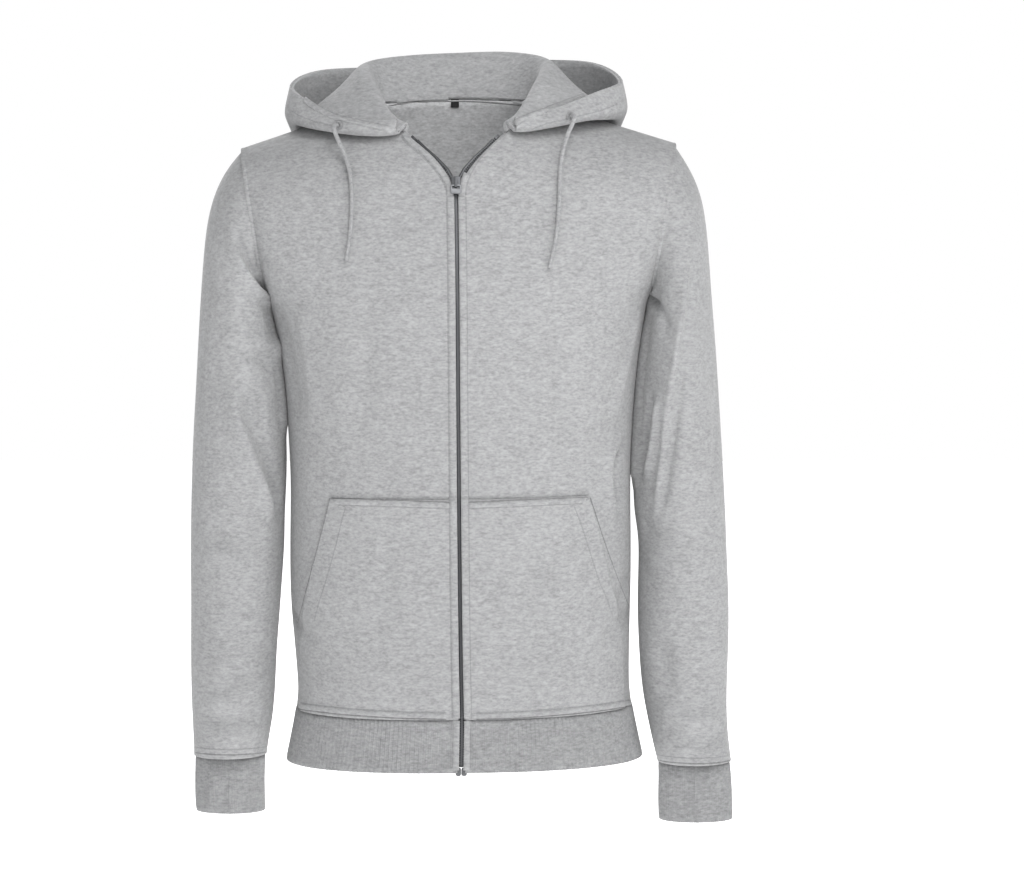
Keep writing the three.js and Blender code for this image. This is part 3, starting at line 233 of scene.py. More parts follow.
# The slider is dark metal, made darker still as painted shade so that the pull's slot reads
# dark.
slider_metal = worn_metal("slider_metal", (0.10, 0.102, 0.107), 0.42)
pull_metal = worn_metal("pull_metal", (0.20, 0.203, 0.21), 0.45)
thread_grey = plain_material("thread", (0.29, 0.292, 0.296), 0.8, Sheen_Weight=0.3)


# Mesh tools

def link(name, mesh, material, body=GARMENT, smooth=True):
    obj = bpy.data.objects.new(name, mesh)
    bpy.context.collection.objects.link(obj)
    mesh.materials.clear()
    mesh.materials.append(material)
    mesh.polygons.foreach_set("use_smooth", [smooth] * len(mesh.polygons))
    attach(obj, body)
    return obj


def mesh_from(name, points, faces):
    mesh = bpy.data.meshes.new(name)
    mesh.from_pydata([tuple(p) for p in points], [], faces)
    mesh.validate()
    mesh.update()
    return mesh


def solid_of(node, same_point):
    """A bmesh of the frame's solid, with the points that coincide made one."""
    bm = bmesh.new()
    bm.from_mesh(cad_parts[node].data)
    bmesh.ops.remove_doubles(bm, verts=bm.verts, dist=same_point)
    return bm


def tube_faces(start, rings, sides, capped=True):
    """The faces of a tube whose rings of points follow one another from `start`."""
    faces = []
    for j in range(rings - 1):
        a = start + j * sides
        for k in range(sides):
            n = (k + 1) % sides
            faces.append([a + k, a + n, a + sides + n, a + sides + k])
    if capped:
        faces.append([start + k for k in range(sides)][::-1])
        faces.append([start + (rings - 1) * sides + k for k in range(sides)])
    return faces


def faced_outward(mesh):
    """Turns the faces of a closed mesh outward."""
    bm = bmesh.new()
    bm.from_mesh(mesh)
    bmesh.ops.recalc_face_normals(bm, faces=bm.faces)
    bm.to_mesh(mesh)
    bm.free()
    return mesh


def points_of(mesh):
    flat = np.empty(len(mesh.vertices) * 3)
    mesh.vertices.foreach_get("co", flat)
    return flat.reshape(-1, 3)


def put_points(mesh, points):
    mesh.vertices.foreach_set("co", points.ravel())
    mesh.update()


RIM_WIDEST = 1.35 * 2.1 * MM          # a little over the cloth's thickness
RIM_TURN = math.radians(52)
SEAM_CLOSE = 0.17 * MM                # a little over half the frame's seam gap
CUT_EDGE_TURN = math.radians(35)
CORNER_TURN = math.radians(45)


def is_rim(face):
    """True on the narrow face that joins a wall's two sides."""
    short = [edge for edge in face.edges if edge.calc_length() < RIM_WIDEST]
    turned = [edge for edge in face.edges
              if len(edge.link_faces) == 2 and edge.calc_face_angle(0) > RIM_TURN]
    return len(short) >= 2 and len(turned) >= 2


def rounded_wall(node, levels):
    """A node's faceted wall as quads, subdivided, with its cut edges kept crisp."""
    bm = solid_of(node, 0.01 * MM)
    bmesh.ops.join_triangles(bm, faces=bm.faces, angle_face_threshold=math.pi,
                             angle_shape_threshold=math.pi)
    bm.normal_update()
    rims = {face for face in bm.faces if is_rim(face)}
    # Each cut edge moves out, which closes the seams.
    close = {}
    for face in rims:
        for v in face.verts:
            close.setdefault(v, []).append(face.normal.copy())
    for v, normals in close.items():
        v.co += sum(normals, Vector()).normalized() * SEAM_CLOSE
    crease = bm.edges.layers.float.new("crease_edge")
    for edge in bm.edges:
        on_rim = [face in rims for face in edge.link_faces]
        turn = edge.calc_face_angle(0)
        if on_rim.count(True) == 1 and turn > CUT_EDGE_TURN:
            edge[crease] = 1
        elif all(on_rim) and turn > CORNER_TURN:
            edge[crease] = 1
    mesh = bpy.data.meshes.new(node + "_cage")
    bm.to_mesh(mesh)
    bm.free()
    obj = bpy.data.objects.new(node + "_cage", mesh)
    bpy.context.collection.objects.link(obj)
    modifier = obj.modifiers.new("round", "SUBSURF")
    modifier.levels = levels
    modifier.render_levels = levels
    depsgraph = bpy.context.evaluated_depsgraph_get()
    made = bpy.data.meshes.new_from_object(obj.evaluated_get(depsgraph))
    bpy.data.objects.remove(obj)
    return made


def smoothed_line(points, per_span):
    """A Catmull-Rom line through the points, with even steps inside each span."""
    p = [Vector(q) for q in points]
    p = [p[0] * 2 - p[1], *p, p[-1] * 2 - p[-2]]
    line = []
    for i in range(1, len(p) - 2):
        a, b, c, d = p[i - 1:i + 3]
        for k in range(per_span):
            t = k / per_span
            line.append(0.5 * (2 * b + (c - a) * t + (2 * a - 5 * b + 4 * c - d) * t * t
                               + (3 * b - a - 3 * c + d) * t ** 3))
    line.append(p[-2])
    return line


def lengths_along(line):
    reach = [0.0]
    for a, b in zip(line, line[1:]):
        reach.append(reach[-1] + (b - a).length)
    return reach


def place_along(reach, want):
    """The span of a line that holds the length `want`, and the share of that span."""
    k = min(int(np.searchsorted(reach, want, side="right")) - 1, len(reach) - 2)
    return k, (want - reach[k]) / max(reach[k + 1] - reach[k], 1e-9)


def evenly(line, step):
    """The same line with a point every step."""
    reach = lengths_along(line)
    count = max(1, round(reach[-1] / step))
    spots, k = [], 0
    for i in range(count + 1):
        want = reach[-1] * i / count
        while k < len(reach) - 2 and reach[k + 1] < want:
            k += 1
        span = max(reach[k + 1] - reach[k], 1e-9)
        spots.append(line[k].lerp(line[k + 1], min(max((want - reach[k]) / span, 0), 1)))
    return spots


def surface_of(objects):
    """One tree of all the objects' faces, to cast onto."""
    points, faces = [], []
    for obj in objects:
        start = len(points)
        points.extend(v.co.copy() for v in obj.data.vertices)
        faces.extend([start + i for i in polygon.vertices] for polygon in obj.data.polygons)
    return BVHTree.FromPolygons(points, faces)


def seen_on(tree, column, row):
    """Where the photograph's sight line first meets the cloth, and the cloth's facing there."""
    start, way = sight_line(column, row)
    place, normal, _, _ = tree.ray_cast(start, way)
    if place is None:
        return None
    return place, (normal if normal.dot(way) < 0 else -normal)


def draped(tree, places, per_span):
    """A line through places of the photograph, laid on the cloth, with its facings."""
    flat = smoothed_line([(x, y, 0) for x, y in places], per_span)
    found = [seen_on(tree, p.x, p.y) for p in flat]
    found = [hit for hit in found if hit is not None]
    return [hit[0] for hit in found], [hit[1] for hit in found]


# Creases

LAP_PEAK = math.sqrt(2 * math.e)      # brings a lap's crest to its full rise
CREASE_REACH = 2.6                    # widths within which a crease moves the cloth
CREASE_DEPTH = 14 * MM                # cloth farther off the line's surface stays
CREASE_ENDS = 0.22                    # share of the line over which each end fades


def crease_field(points, line, facings, rise, left, right, lap):
    """How far each point moves for one crease, which fades out at both ends.

    The crease falls off over `left` on one side of its line and over `right` on the other.
    A lap rises on the `right` side and sinks on the `left`, so the line is a steep step.
    """
    line = np.array([tuple(p) for p in line])
    facings = np.array([tuple(n) for n in facings])
    reach = max(left, right) * CREASE_REACH
    low, high = line.min(0) - reach, line.max(0) + reach
    near = np.where(((points > low) & (points < high)).all(1))[0]
    move = np.zeros_like(points)
    if len(near) == 0 or len(line) < 2:
        return move
    p = points[near]
    best = np.full(len(near), 1e9)
    share = np.zeros(len(near))
    side = np.zeros(len(near))
    facing = np.zeros((len(near), 3))
    total = np.linalg.norm(np.diff(line, axis=0), axis=1).sum()
    run = 0.0
    for a, b, na, nb in zip(line, line[1:], facings, facings[1:]):
        span = b - a
        length = np.linalg.norm(span)
        if length < 1e-9:
            continue
        t = np.clip(((p - a) @ span) / length ** 2, 0, 1)
        off = p - (a + t[:, None] * span)
        normal = na * (1 - t)[:, None] + nb * t[:, None]
        normal /= np.linalg.norm(normal, axis=1)[:, None] + 1e-12
        height = (off * normal).sum(1)
        flat = off - height[:, None] * normal
        beyond = np.where(np.abs(height) > CREASE_DEPTH, 1.0, 0.0)
        distance = np.linalg.norm(flat, axis=1) + beyond
        closer = distance < best
        best = np.where(closer, distance, best)
        share = np.where(closer, (run + t * length) / total, share)
        turn = (np.cross(normal, span) * flat).sum(1)
        side = np.where(closer, np.sign(turn), side)
        facing[closer] = normal[closer]
        run += length
    wide = np.where(side > 0, left, right)
    ends = np.clip(share / CREASE_ENDS, 0, 1) * np.clip((1 - share) / CREASE_ENDS, 0, 1)
    ends = ends * ends * (3 - 2 * ends)
    shape = np.exp(-(best / wide) ** 2)
    if lap:
        shape = -side * LAP_PEAK * (best / wide) * shape
    amount = rise * shape * ends
    move[near] = facing * amount[:, None]
    return move


# Cloth pieces

# How often each wall is subdivided, and what it is made of.
CLOTH_NODES = {
    "front_left": (3, fleece), "front_right": (3, fleece), "back": (2, back_fleece_loop_and_painted_light),
    "sleeve_left": (3, fleece), "sleeve_right": (3, fleece),
    "pocket_left": (3, fleece), "pocket_right": (3, fleece),
    "hood_side_left": (3, fleece), "hood_centre": (2, fleece), "hood_side_right": (3, fleece),
    "hood_lining": (3, lining),
}

cloth = {}
for node, (levels, material) in CLOTH_NODES.items():
    cloth[node] = link("cloth_" + node, rounded_wall(node, levels), material)
    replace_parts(cloth[node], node)

# Creases that the photograph shows, by the pieces they are in: the rise in mm, out of the
# cloth if positive, the widths of the left and the right side in mm, and the line. Lines run
# mostly downward, so `left` is the side towards the picture's right.
CREASES = {
    "sleeve_left": [
        (-2.5, 10, 6, [(246, 222), (250, 240), (258, 262), (266, 286), (272, 306)]),
        (-5.2, 10, 9, [(226, 334), (240, 345), (256, 355), (274, 362)]),
        (4.4, 9, 12, [(222, 328), (240, 336), (262, 344), (280, 350)]),
        (-3.4, 9, 14, [(206, 520), (222, 532), (244, 538), (268, 536)]),
        (2.8, 12, 9, [(200, 560), (222, 556), (246, 552)]),
        (-3.6, 8, 12, [(278, 640), (262, 664), (240, 678), (216, 682)]),
        (3.4, 12, 8, [(270, 668), (250, 690), (226, 700), (204, 698)]),
        (-3.4, 7, 9, [(266, 706), (248, 716), (222, 720), (200, 712)]),
        (2.5, 9, 7, [(262, 728), (240, 733), (214, 734)]),
    ],
    "sleeve_right": [
        (4.2, 14, 16, [(684, 250), (680, 300), (674, 350), (666, 400), (660, 450)]),
        (-5.5, 7, 6, [(649, 290), (656, 303), (664, 320), (670, 340)]),
        (-3.6, 9, 12, [(640, 520), (654, 534), (676, 540), (702, 536)]),
        (2.8, 9, 12, [(646, 556), (668, 566), (696, 566)]),
        (-3.6, 10, 14, [(662, 636), (664, 660), (668, 684), (676, 704)]),
        (3.4, 9, 9, [(656, 700), (676, 716), (700, 722), (720, 716)]),
        (-3.4, 8, 8, [(660, 724), (682, 736), (706, 738), (726, 732)]),
        (-2.5, 10, 8, [(700, 330), (712, 380), (716, 430), (712, 480)]),
    ],
    "front_right": [
        (3.6, 10, 8, [(640, 300), (632, 340), (622, 380), (612, 420)]),
        (-2.8, 14, 14, [(560, 300), (556, 360), (560, 420), (572, 470)]),
        (-3.6, 8, 10, [(634, 560), (624, 590), (616, 625)]),
        (-2.8, 9, 10, [(634, 668), (610, 680), (576, 688)]),
    ],
    "front_right pocket_right": [
        (-3.1, 7, 9, [(634, 610), (616, 625), (598, 648)]),
    ],
    "front_left": [
        (-3.0, 8, 12, [(276, 300), (288, 340), (296, 390), (300, 430)]),
        (3.0, 12, 8, [(296, 300), (306, 350), (312, 400), (312, 440)]),
        (-2.8, 14, 14, [(360, 280), (366, 340), (364, 400), (352, 450)]),
        (-2.8, 9, 10, [(294, 670), (318, 682), (352, 688)]),
    ],
    "front_left pocket_left": [
        (-3.4, 7, 9, [(292, 610), (302, 628), (320, 645)]),
    ],
    "pocket_left front_left": [
        (-2.5, 10, 12, [(380, 520), (386, 560), (380, 610), (366, 660)]),
    ],
    "pocket_right front_right": [
        (-2.5, 10, 12, [(540, 520), (534, 560), (542, 610), (560, 660)]),
    ],
}
# Laps, where one side of the cloth stands over the other, with one width for both sides.
LAPS = {
    "sleeve_left": [
        (5.4, 6, [(229, 222), (233, 238), (245, 262), (258, 287), (272, 311)]),
        (8.0, 12, [(238, 372), (241, 396), (245, 420), (252, 440), (260, 461), (267, 482),
                   (273, 504), (277, 528)]),
    ],
    "sleeve_right": [
        (4.2, 6, [(691, 250), (688, 290), (686, 312), (681, 352), (675, 394), (667, 450),
                  (659, 502), (655, 530)]),
        (-6.0, 8, [(657, 388), (655, 408), (651, 434), (647, 458), (642, 484)]),
    ],
    "front_right": [
        (6.5, 8, [(625, 430), (616, 448), (611, 466), (612, 491), (618, 520)]),
    ],
}

tree = surface_of(cloth.values())
moves = {node: np.zeros((len(obj.data.vertices), 3)) for node, obj in cloth.items()}
start_points = {node: points_of(obj.data) for node, obj in cloth.items()}
folds = [(nodes, *row, False) for nodes, rows in CREASES.items() for row in rows]
folds += [(nodes, rise, wide, wide, places, True)
          for nodes, rows in LAPS.items() for rise, wide, places in rows]
for nodes, rise, left, right, places, lap in folds:
    line, facings = draped(tree, places, 4)
    for node in nodes.split():
        moves[node] += crease_field(start_points[node], line, facings, rise * MM,
                                    left * MM, right * MM, lap)
for node, obj in cloth.items():
    put_points(obj.data, start_points[node] + moves[node])

# Under the arms the sleeves rest on the body, down to where the photograph shows light
# between them. Heights in metres: full contact between the middle two, none past the ends.
CONTACT = {"sleeve_left": (-0.190, -0.203, -0.330, -0.350),
           "sleeve_right": (-0.190, -0.203, -0.385, -0.405)}
CONTACT_REACH = 11 * MM
CONTACT_GAP = 0.2 * MM


def rest_on_body(node, heights):
    body = surface_of([cloth["front_left"], cloth["front_right"], cloth["back"]])
    mesh = cloth[node].data
    points = points_of(mesh)
    for i in np.where((points[:, 2] < heights[0]) & (points[:, 2] > heights[3]))[0]:
        point = Vector(points[i])
        near, _, _, distance = body.find_nearest(point)
        if distance > CONTACT_REACH:
            continue
        height = min((heights[0] - point.z) / (heights[0] - heights[1]),
                     (point.z - heights[3]) / (heights[2] - heights[3]), 1)
        pull = height * min(1, 2 * (1 - distance / CONTACT_REACH))
        points[i] = point.lerp(near, pull * max(0, 1 - CONTACT_GAP / max(distance, 1e-6)))
    put_points(mesh, points)


for node, heights in CONTACT.items():
    rest_on_body(node, heights)


# Ribbed bands

RIB_PITCH = 2.3 * MM
RIB_RISE = 0.6 * MM
RIB_THICK = 2.4 * MM
RIB_ROWS = 12
RIB_COLUMNS = 4                       # mesh columns to a rib
LOW_BY = 0.2 * MM                     # a facet's raised corner stands out by more than this


def band_rings(node):
    """The outer corners of a faceted band, at its top and its foot, and its middle."""
    bm = solid_of(node, 0.01 * MM)
    bm.normal_update()
    points = [v.co.copy() for v in bm.verts]
    middle = sum(points, Vector()) / len(points)
    top, foot = [], []
    for v in bm.verts:
        away = Vector((v.co.x - middle.x, v.co.y - middle.y, 0)).normalized()
        if v.normal.dot(away) > 0:
            (top if v.co.z > middle.z else foot).append(v.co.copy())
    bm.free()
    return top, foot, middle


def turn_of(point, middle, start):
    """Angle round the middle from the start direction, 0 to 2 pi."""
    angle = math.atan2(point.x - middle.x, -(point.y - middle.y))
    return (angle - start) % (2 * math.pi)


def ring_reader(points, middle, start, closed):
    """A function from a share of the way round to a point of the ring, and its length.

    It follows the ring's lower corners, between the ribs of the solid.
    """
    def radius(p):
        return (Vector((p.x, p.y)) - Vector((middle.x, middle.y))).length

    corners = sorted(points, key=lambda p: turn_of(p, middle, start))
    count = len(corners)
    ordered = []
    for i, p in enumerate(corners):
        beside = [radius(corners[(i + k) % count]) for k in (-1, 1)]
        if not (radius(p) > max(beside) + LOW_BY and 0 < i < count - 1):
            ordered.append(p)
    if closed:
        ordered = [*ordered, ordered[0]]
    reach = lengths_along(ordered)

    def at(share):
        want = share * reach[-1]
        k = min(int(np.searchsorted(reach, want, side="right")) - 1, len(reach) - 2)
        k = max(k, 0)
        return ordered[k].lerp(ordered[k + 1], (want - reach[k]) / (reach[k + 1] - reach[k]))

    return at, reach[-1]


def ribbed(name, node, closed, start=0.0, seed=1):
    """A knit rib band on the frame's band, with ribs outside and shallower ones inside."""
    top_corners, foot_corners, middle = band_rings(node)
    top, length = ring_reader(top_corners, middle, start, closed)
    foot, _ = ring_reader(foot_corners, middle, start, closed)
    ribs = round(length / RIB_PITCH)
    columns = ribs * RIB_COLUMNS
    rng = random.Random(seed)
    depth = [RIB_RISE * rng.uniform(0.75, 1.1) for _ in range(ribs + 1)]
    lean = [rng.uniform(-0.16, 0.16) * RIB_PITCH for _ in range(ribs + 1)]
    waves = [(rng.uniform(0.5, 1.0) * MM, rng.randint(3, 9), rng.uniform(0, 6.28))
             for _ in range(4)]
    points, faces = [], []
    count = columns if closed else columns + 1
    out = []
    for i in range(count):
        share = i / columns
        ahead, behind = share + 0.002, share - 0.002
        if closed:
            along = top(ahead % 1) - top(behind % 1)
        else:
            along = top(min(ahead, 1)) - top(max(behind, 0))
        normal = Vector((along.y, -along.x, 0)).normalized()
        if normal.dot(top(share) - middle) < 0:
            normal = -normal
        out.append(normal)
    for side in (1, -1):
        for j in range(RIB_ROWS + 1):
            v = j / RIB_ROWS
            for i in range(count):
                share = i / columns
                rib = min(i // RIB_COLUMNS, ribs)
                phase = (i % RIB_COLUMNS) / RIB_COLUMNS
                raised = (0.5 - 0.5 * math.cos(2 * math.pi * phase)) * depth[rib]
                ends = min(1, v / 0.06, (1 - v) / 0.05)
                wave = sum(a * math.sin(k * 2 * math.pi * share + p + 1.5 * v)
                           for a, k, p in waves) * math.sin(math.pi * v) * 0.5
                p = top(share).lerp(foot(share), v)
                sideways = Vector((0, 0, 1)).cross(out[i]) * lean[rib] * math.sin(3 * v)
                if side > 0:
                    offset = raised * (0.35 + 0.65 * ends) + wave
                else:
                    offset = wave - RIB_THICK + 0.4 * (depth[rib] - raised)
                points.append(p + out[i] * offset + sideways)
    rows = RIB_ROWS + 1

    def index(side, j, i):
        return side * rows * count + j * count + (i % count)

    for side in (0, 1):
        for j in range(RIB_ROWS):
            for i in range(columns):
                quad = [index(side, j, i), index(side, j, i + 1),
                        index(side, j + 1, i + 1), index(side, j + 1, i)]
                faces.append(quad if side == 0 else quad[::-1])
    for j, flip in ((0, True), (RIB_ROWS, False)):
        for i in range(columns):
            quad = [index(0, j, i), index(0, j, i + 1), index(1, j, i + 1), index(1, j, i)]
            faces.append(quad[::-1] if flip else quad)
    if not closed:
        for i, flip in ((0, False), (columns, True)):
            for j in range(RIB_ROWS):
                quad = [index(0, j, i), index(0, j + 1, i), index(1, j + 1, i), index(1, j, i)]
                faces.append(quad[::-1] if flip else quad)
    obj = link(name, faced_outward(mesh_from(name, points, faces)), rib_knit)
    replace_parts(obj, node)
    return obj


HEM_START = math.atan2(-0.0034, 0.117)       # the direction of the zip from the hem's middle
bands = {
    "hem_rib": ribbed("ribs_hem", "hem_rib", False, start=HEM_START, seed=3),
    "cuff_left": ribbed("ribs_cuff_left", "cuff_left", True, seed=5),
    "cuff_right": ribbed("ribs_cuff_right", "cuff_right", True, seed=7),
}


# Sewing

STITCH_LONG = 2.8 * MM
STITCH_STEP = 3.4 * MM
THREAD_WIDE = 0.5 * MM
THREAD_HIGH = 0.25 * MM
THREAD_SIDES = 5
# Along a stitch: the share of its length, its size and how deep it is sunk, as shares too.
STITCH_RINGS = [(0.0, 0.35, 0.4), (0.18, 1, 0), (0.82, 1, 0), (1.0, 0.35, 0.4)]


def stitches(name, runs):
    """Rows of short raised threads on the cloth. Each run is a line and its facings."""
    points, faces = [], []
    turns = [2 * math.pi * k / THREAD_SIDES for k in range(THREAD_SIDES)]
    ring = [(math.cos(turn), math.sin(turn)) for turn in turns]
    for line, facings in runs:
        if len(line) < 2:
            continue
        reach = lengths_along(line)
        for i in range(int(reach[-1] / STITCH_STEP)):
            spots = []
            for t, _, _ in STITCH_RINGS:
                k, u = place_along(reach, i * STITCH_STEP + t * STITCH_LONG)
                spots.append((line[k].lerp(line[k + 1], u), facings[k].lerp(facings[k + 1], u)))
            way = (spots[-1][0] - spots[0][0]).normalized()
            start = len(points)
            for (p, n), (_, size, sunk) in zip(spots, STITCH_RINGS):
                n = n.normalized()
                across = way.cross(n).normalized()
                centre = p + n * (0.1 - sunk) * THREAD_HIGH
                for c, s in ring:
                    points.append(centre + across * c * size * THREAD_WIDE / 2
                                  + n * s * size * THREAD_HIGH)
            faces += tube_faces(start, len(STITCH_RINGS), THREAD_SIDES)
    return link(name, mesh_from(name, points, faces), thread_grey)


STRIP_SUNK = 0.05                     # mm that a ribbon lies in the cloth


def strip(name, runs, profile, material):
    """Narrow ribbons laid along lines, each a line and its facings.

    The profile gives, in mm, each column's place across the line and its height over it.
    """
    points, faces = [], []
    for line, facings in runs:
        start = len(points)
        wide = len(profile)
        last = len(line) - 1
        for i, (p, n) in enumerate(zip(line, facings)):
            way = (line[min(i + 1, last)] - line[max(i - 1, 0)]).normalized()
            across = way.cross(n).normalized()
            fade = min(1, i / 2, (last - i) / 2)
            for place, height in profile:
                points.append(p + across * place * MM + n * (height * fade - STRIP_SUNK) * MM)
        for i in range(last):
            for k in range(wide - 1):
                a = start + i * wide + k
                faces.append([a, a + 1, a + wide + 1, a + wide])
    return link(name, mesh_from(name, points, faces), material)


GROOVE_SHADE_PROFILE = [(-0.85, 0.0), (-0.45, 0.2), (0.45, 0.2), (0.85, 0.0)]    # the profile of a ribbon of painted groove shade


def puffed(half, rise):
    """The profile of a soft raised band, rounded over its width."""
    places = [-1, -0.85, -0.5, 0, 0.5, 0.85, 1]
    return [(half * x, rise * (1 - x * x) ** 0.5) for x in places]


LAID_STEP = 1.2 * MM


def on_cloth(places, objects):
    """A line through places of the photograph on the cloth, in even steps, and its facings."""
    tree = surface_of(objects)
    line, _ = draped(tree, places, 8)
    # The facings are read at the even points, each from the cloth nearest to it.
    found = []
    for p in evenly(line, LAID_STEP):
        spot, normal, _, _ = tree.find_nearest(p)
        if normal.dot(toward_eye) < 0:
            normal = -normal
        found.append((spot, normal))
    return [f[0] for f in found], [f[1] for f in found]


body_cloth = [cloth[n] for n in ("front_left", "front_right", "pocket_left", "pocket_right")]
body_and_band = [*body_cloth, bands["hem_rib"]]


def sewn(name, rows, objects, with_thread=True, material=faint_groove_shade):
    """Dark ribbons of painted groove shade along lines on the cloth, with their stitches in them
    unless it is only an edge.
    """
    runs = [on_cloth(places, objects) for places in rows]
    strip("groove_shade_" + name, runs, GROOVE_SHADE_PROFILE, material)
    if with_thread:
        stitches("thread_" + name, runs)


def band(name, rows, objects, profile, material=fleece):
    """Soft raised bands on the cloth."""
    strip(name, [on_cloth(places, objects) for places in rows], profile, material)


def shifted(places, columns=0.0, rows=0.0):
    return [(x + columns, y + rows) for x, y in places]


# The facing along the zip: a soft band between its folded edge and its topstitching.
ZIP_PLACES = [(456.2, 196), (457.0, 250), (457.5, 300), (458.2, 400), (459, 500), (460, 600),
              (460.8, 660), (461.9, 716), (461.6, 745), (461.2, 774)]
ZIP_BAND = puffed(3.7, 1.9)
band("band_zip_left", [shifted(ZIP_PLACES, -5.6)], body_and_band, ZIP_BAND)
band("band_zip_right", [shifted(ZIP_PLACES, 5.6)], body_and_band, ZIP_BAND)
# The topstitching lies in lines of painted groove shade.
sewn("zip", [shifted(ZIP_PLACES, -9.6), shifted(ZIP_PLACES, 9.4)], body_and_band)

# The same facing along the V: its middle, and the sewing at its outside.
V_MIDDLE = [
    [(403.5, 132.6), (409.8, 140.6), (420.2, 149.2), (430.5, 158.6), (439.3, 169),
     (445.8, 178.5), (449.6, 188), (450.4, 196)],
    [(505.6, 128), (500.5, 132.8), (490.6, 141.2), (481.5, 150.2), (473.6, 161.2),
     (467.4, 172), (463.8, 181.2), (462.2, 190), (461.8, 196)],
]
V_OUTSIDE = [
    [(400.5, 136.2), (407.2, 144), (417.6, 152.4), (427.4, 161.4), (435.6, 171.2),
     (441.8, 180.3), (445.8, 189), (446.6, 196)],
    [(508.4, 131.4), (503, 136), (493.4, 144.4), (484.8, 153), (477.2, 163.4),
     (471.2, 173.8), (467.8, 182.2), (466.2, 190), (465.8, 196)],
]
band("band_v", V_MIDDLE, body_cloth, puffed(3.3, 2.6))
# The topstitching lies in lines of painted groove shade.
sewn("v", V_OUTSIDE, body_cloth)

# The pocket's top and slanted edges in dark lines of painted edge shadow, its topstitching in
# painted groove shade, and the band along its top.
POCKET_EDGES = [
    [(331, 498.2), (370, 499.4), (410, 500.8), (453, 502.4)],
    [(589, 497.2), (550, 498.6), (510, 500.4), (466, 502.4)],
    [(330, 498), (326, 514), (320, 538), (312, 568), (304, 598), (297.5, 624)],
    [(590, 497), (595, 512), (604, 540), (614, 568), (624, 594), (631.5, 612)],
]
POCKET_SEWING = [
    [(337, 505), (370, 506.2), (410, 507.4), (449, 508.8)],
    [(470, 508.8), (510, 507), (550, 505.2), (583, 503.6)],
    [(345.5, 507), (341, 524), (334, 552), (326, 580), (318, 606), (314, 622)],
    [(574, 506), (581, 524), (590, 552), (599, 580), (608, 602), (613, 618)],
    [(331, 499), (338, 503), (345.5, 507)],
    [(589, 498.5), (582, 502), (574, 506)],
]
POCKET_BANDS = [
    [(334, 501.6), (370, 502.8), (410, 504.1), (450, 505.6)],
    [(468, 505.6), (510, 503.7), (550, 501.9), (586, 500.4)],
]
sewn("pocket_edge", POCKET_EDGES, body_cloth, False, groove_shade_fleece)
sewn("pocket", POCKET_SEWING, body_cloth)
band("band_pocket", POCKET_BANDS, body_cloth, puffed(2.9, 1.5))

# The hem's seam: a soft band over the rib between two dark lines of painted groove shade.
HEM_UPPER = [
    [(293, 702), (320, 705.5), (350, 708.6), (400, 711.6), (447, 712.6)],
    [(476, 712.6), (520, 711.4), (570, 707.6), (605, 703.6), (634, 699)],
]
HEM_BAND = [
    [(293, 705.2), (320, 708.7), (350, 711.8), (400, 714.9), (447, 716)],
    [(476, 716), (520, 714.7), (570, 710.9), (605, 706.8), (634, 702.2)],
]
HEM_LOWER = [shifted(places, rows=3.4) for places in HEM_BAND]
sewn("hem", HEM_UPPER, body_cloth)
sewn("hem_foot", HEM_LOWER, body_and_band, False, groove_shade_fleece)
band("band_hem", HEM_BAND, body_cloth, puffed(2.9, 1.8))

# Each cuff's seam: its stitched line in painted groove shade, and a darker line of painted shade
# under it.
CUFF_SEWING = {
    "left": [[(193.5, 747), (205, 748.6), (230, 749.6), (255, 748.4), (267, 746.6)],
             [(193.8, 752.4), (205, 754), (230, 755), (255, 753.8), (267, 752)]],
    "right": [[(656.6, 754.6), (668, 756.6), (694, 758.4), (718, 757.4), (730.5, 755)],
              [(657, 760), (668, 762), (694, 763.8), (718, 762.8), (730.5, 760.4)]],
}
for side, rows in CUFF_SEWING.items():
    sewn("cuff_" + side, rows[:1], [cloth["sleeve_" + side]])
    sewn("cuff_foot_" + side, rows[1:], [cloth["sleeve_" + side], bands["cuff_" + side]],
         False, groove_shade_fleece)

# The drawcord's channel along the hood's opening, stitched in lines of painted groove shade.
CHANNEL = {
    "left": [(289.5, 109.5), (297, 114.5), (305, 118), (315, 121.5), (325, 124), (333, 126)],
    "right": [(618, 103.5), (609, 107.5), (599, 111), (580, 116), (564, 120), (549, 123),
              (538, 127), (529, 131), (518, 134)],
}
# The turned edge of the hood's opening, and a line of painted shade in the crevice between it
# and the lining.
HOOD_EDGE = {
    "left": [(304, 98.6), (310, 103.6), (318, 108.8), (327, 113.6), (336.3, 117.8),
             (354.6, 121.9), (373, 125.8), (389, 129)],
    "right": [(584, 96.4), (574, 100), (563.7, 103.8), (553, 107.6), (542.8, 111.6),
              (524.5, 118.4), (512, 125)],
}
for side, places in CHANNEL.items():
    sewn("channel_" + side, [places], [cloth["hood_side_" + side]])
for side, places in HOOD_EDGE.items():
    hood_cloth = [cloth["hood_side_" + side], cloth["hood_lining"]]
    band("edge_hood_" + side, [places], hood_cloth, puffed(3.0, 2.4))
    sewn("hood_" + side, [shifted(places, rows=-3)], hood_cloth, False)

# The tape over the back neck seam, between its two stitched edges, which lie in lines of painted
# groove shade.
NECK_TAPE = [(388, 102.6), (402, 100.4), (417, 98.8), (436, 98.2), (454, 98), (472, 98.2),
             (490, 99.2), (508, 100.8), (524, 103)]
neck_cloth = [cloth["hood_lining"], cloth["back"]]
band("band_neck", [NECK_TAPE], neck_cloth, puffed(2.7, 1.2), lining)
sewn("neck", [shifted(NECK_TAPE, rows=-3), shifted(NECK_TAPE, rows=3.4)], neck_cloth)

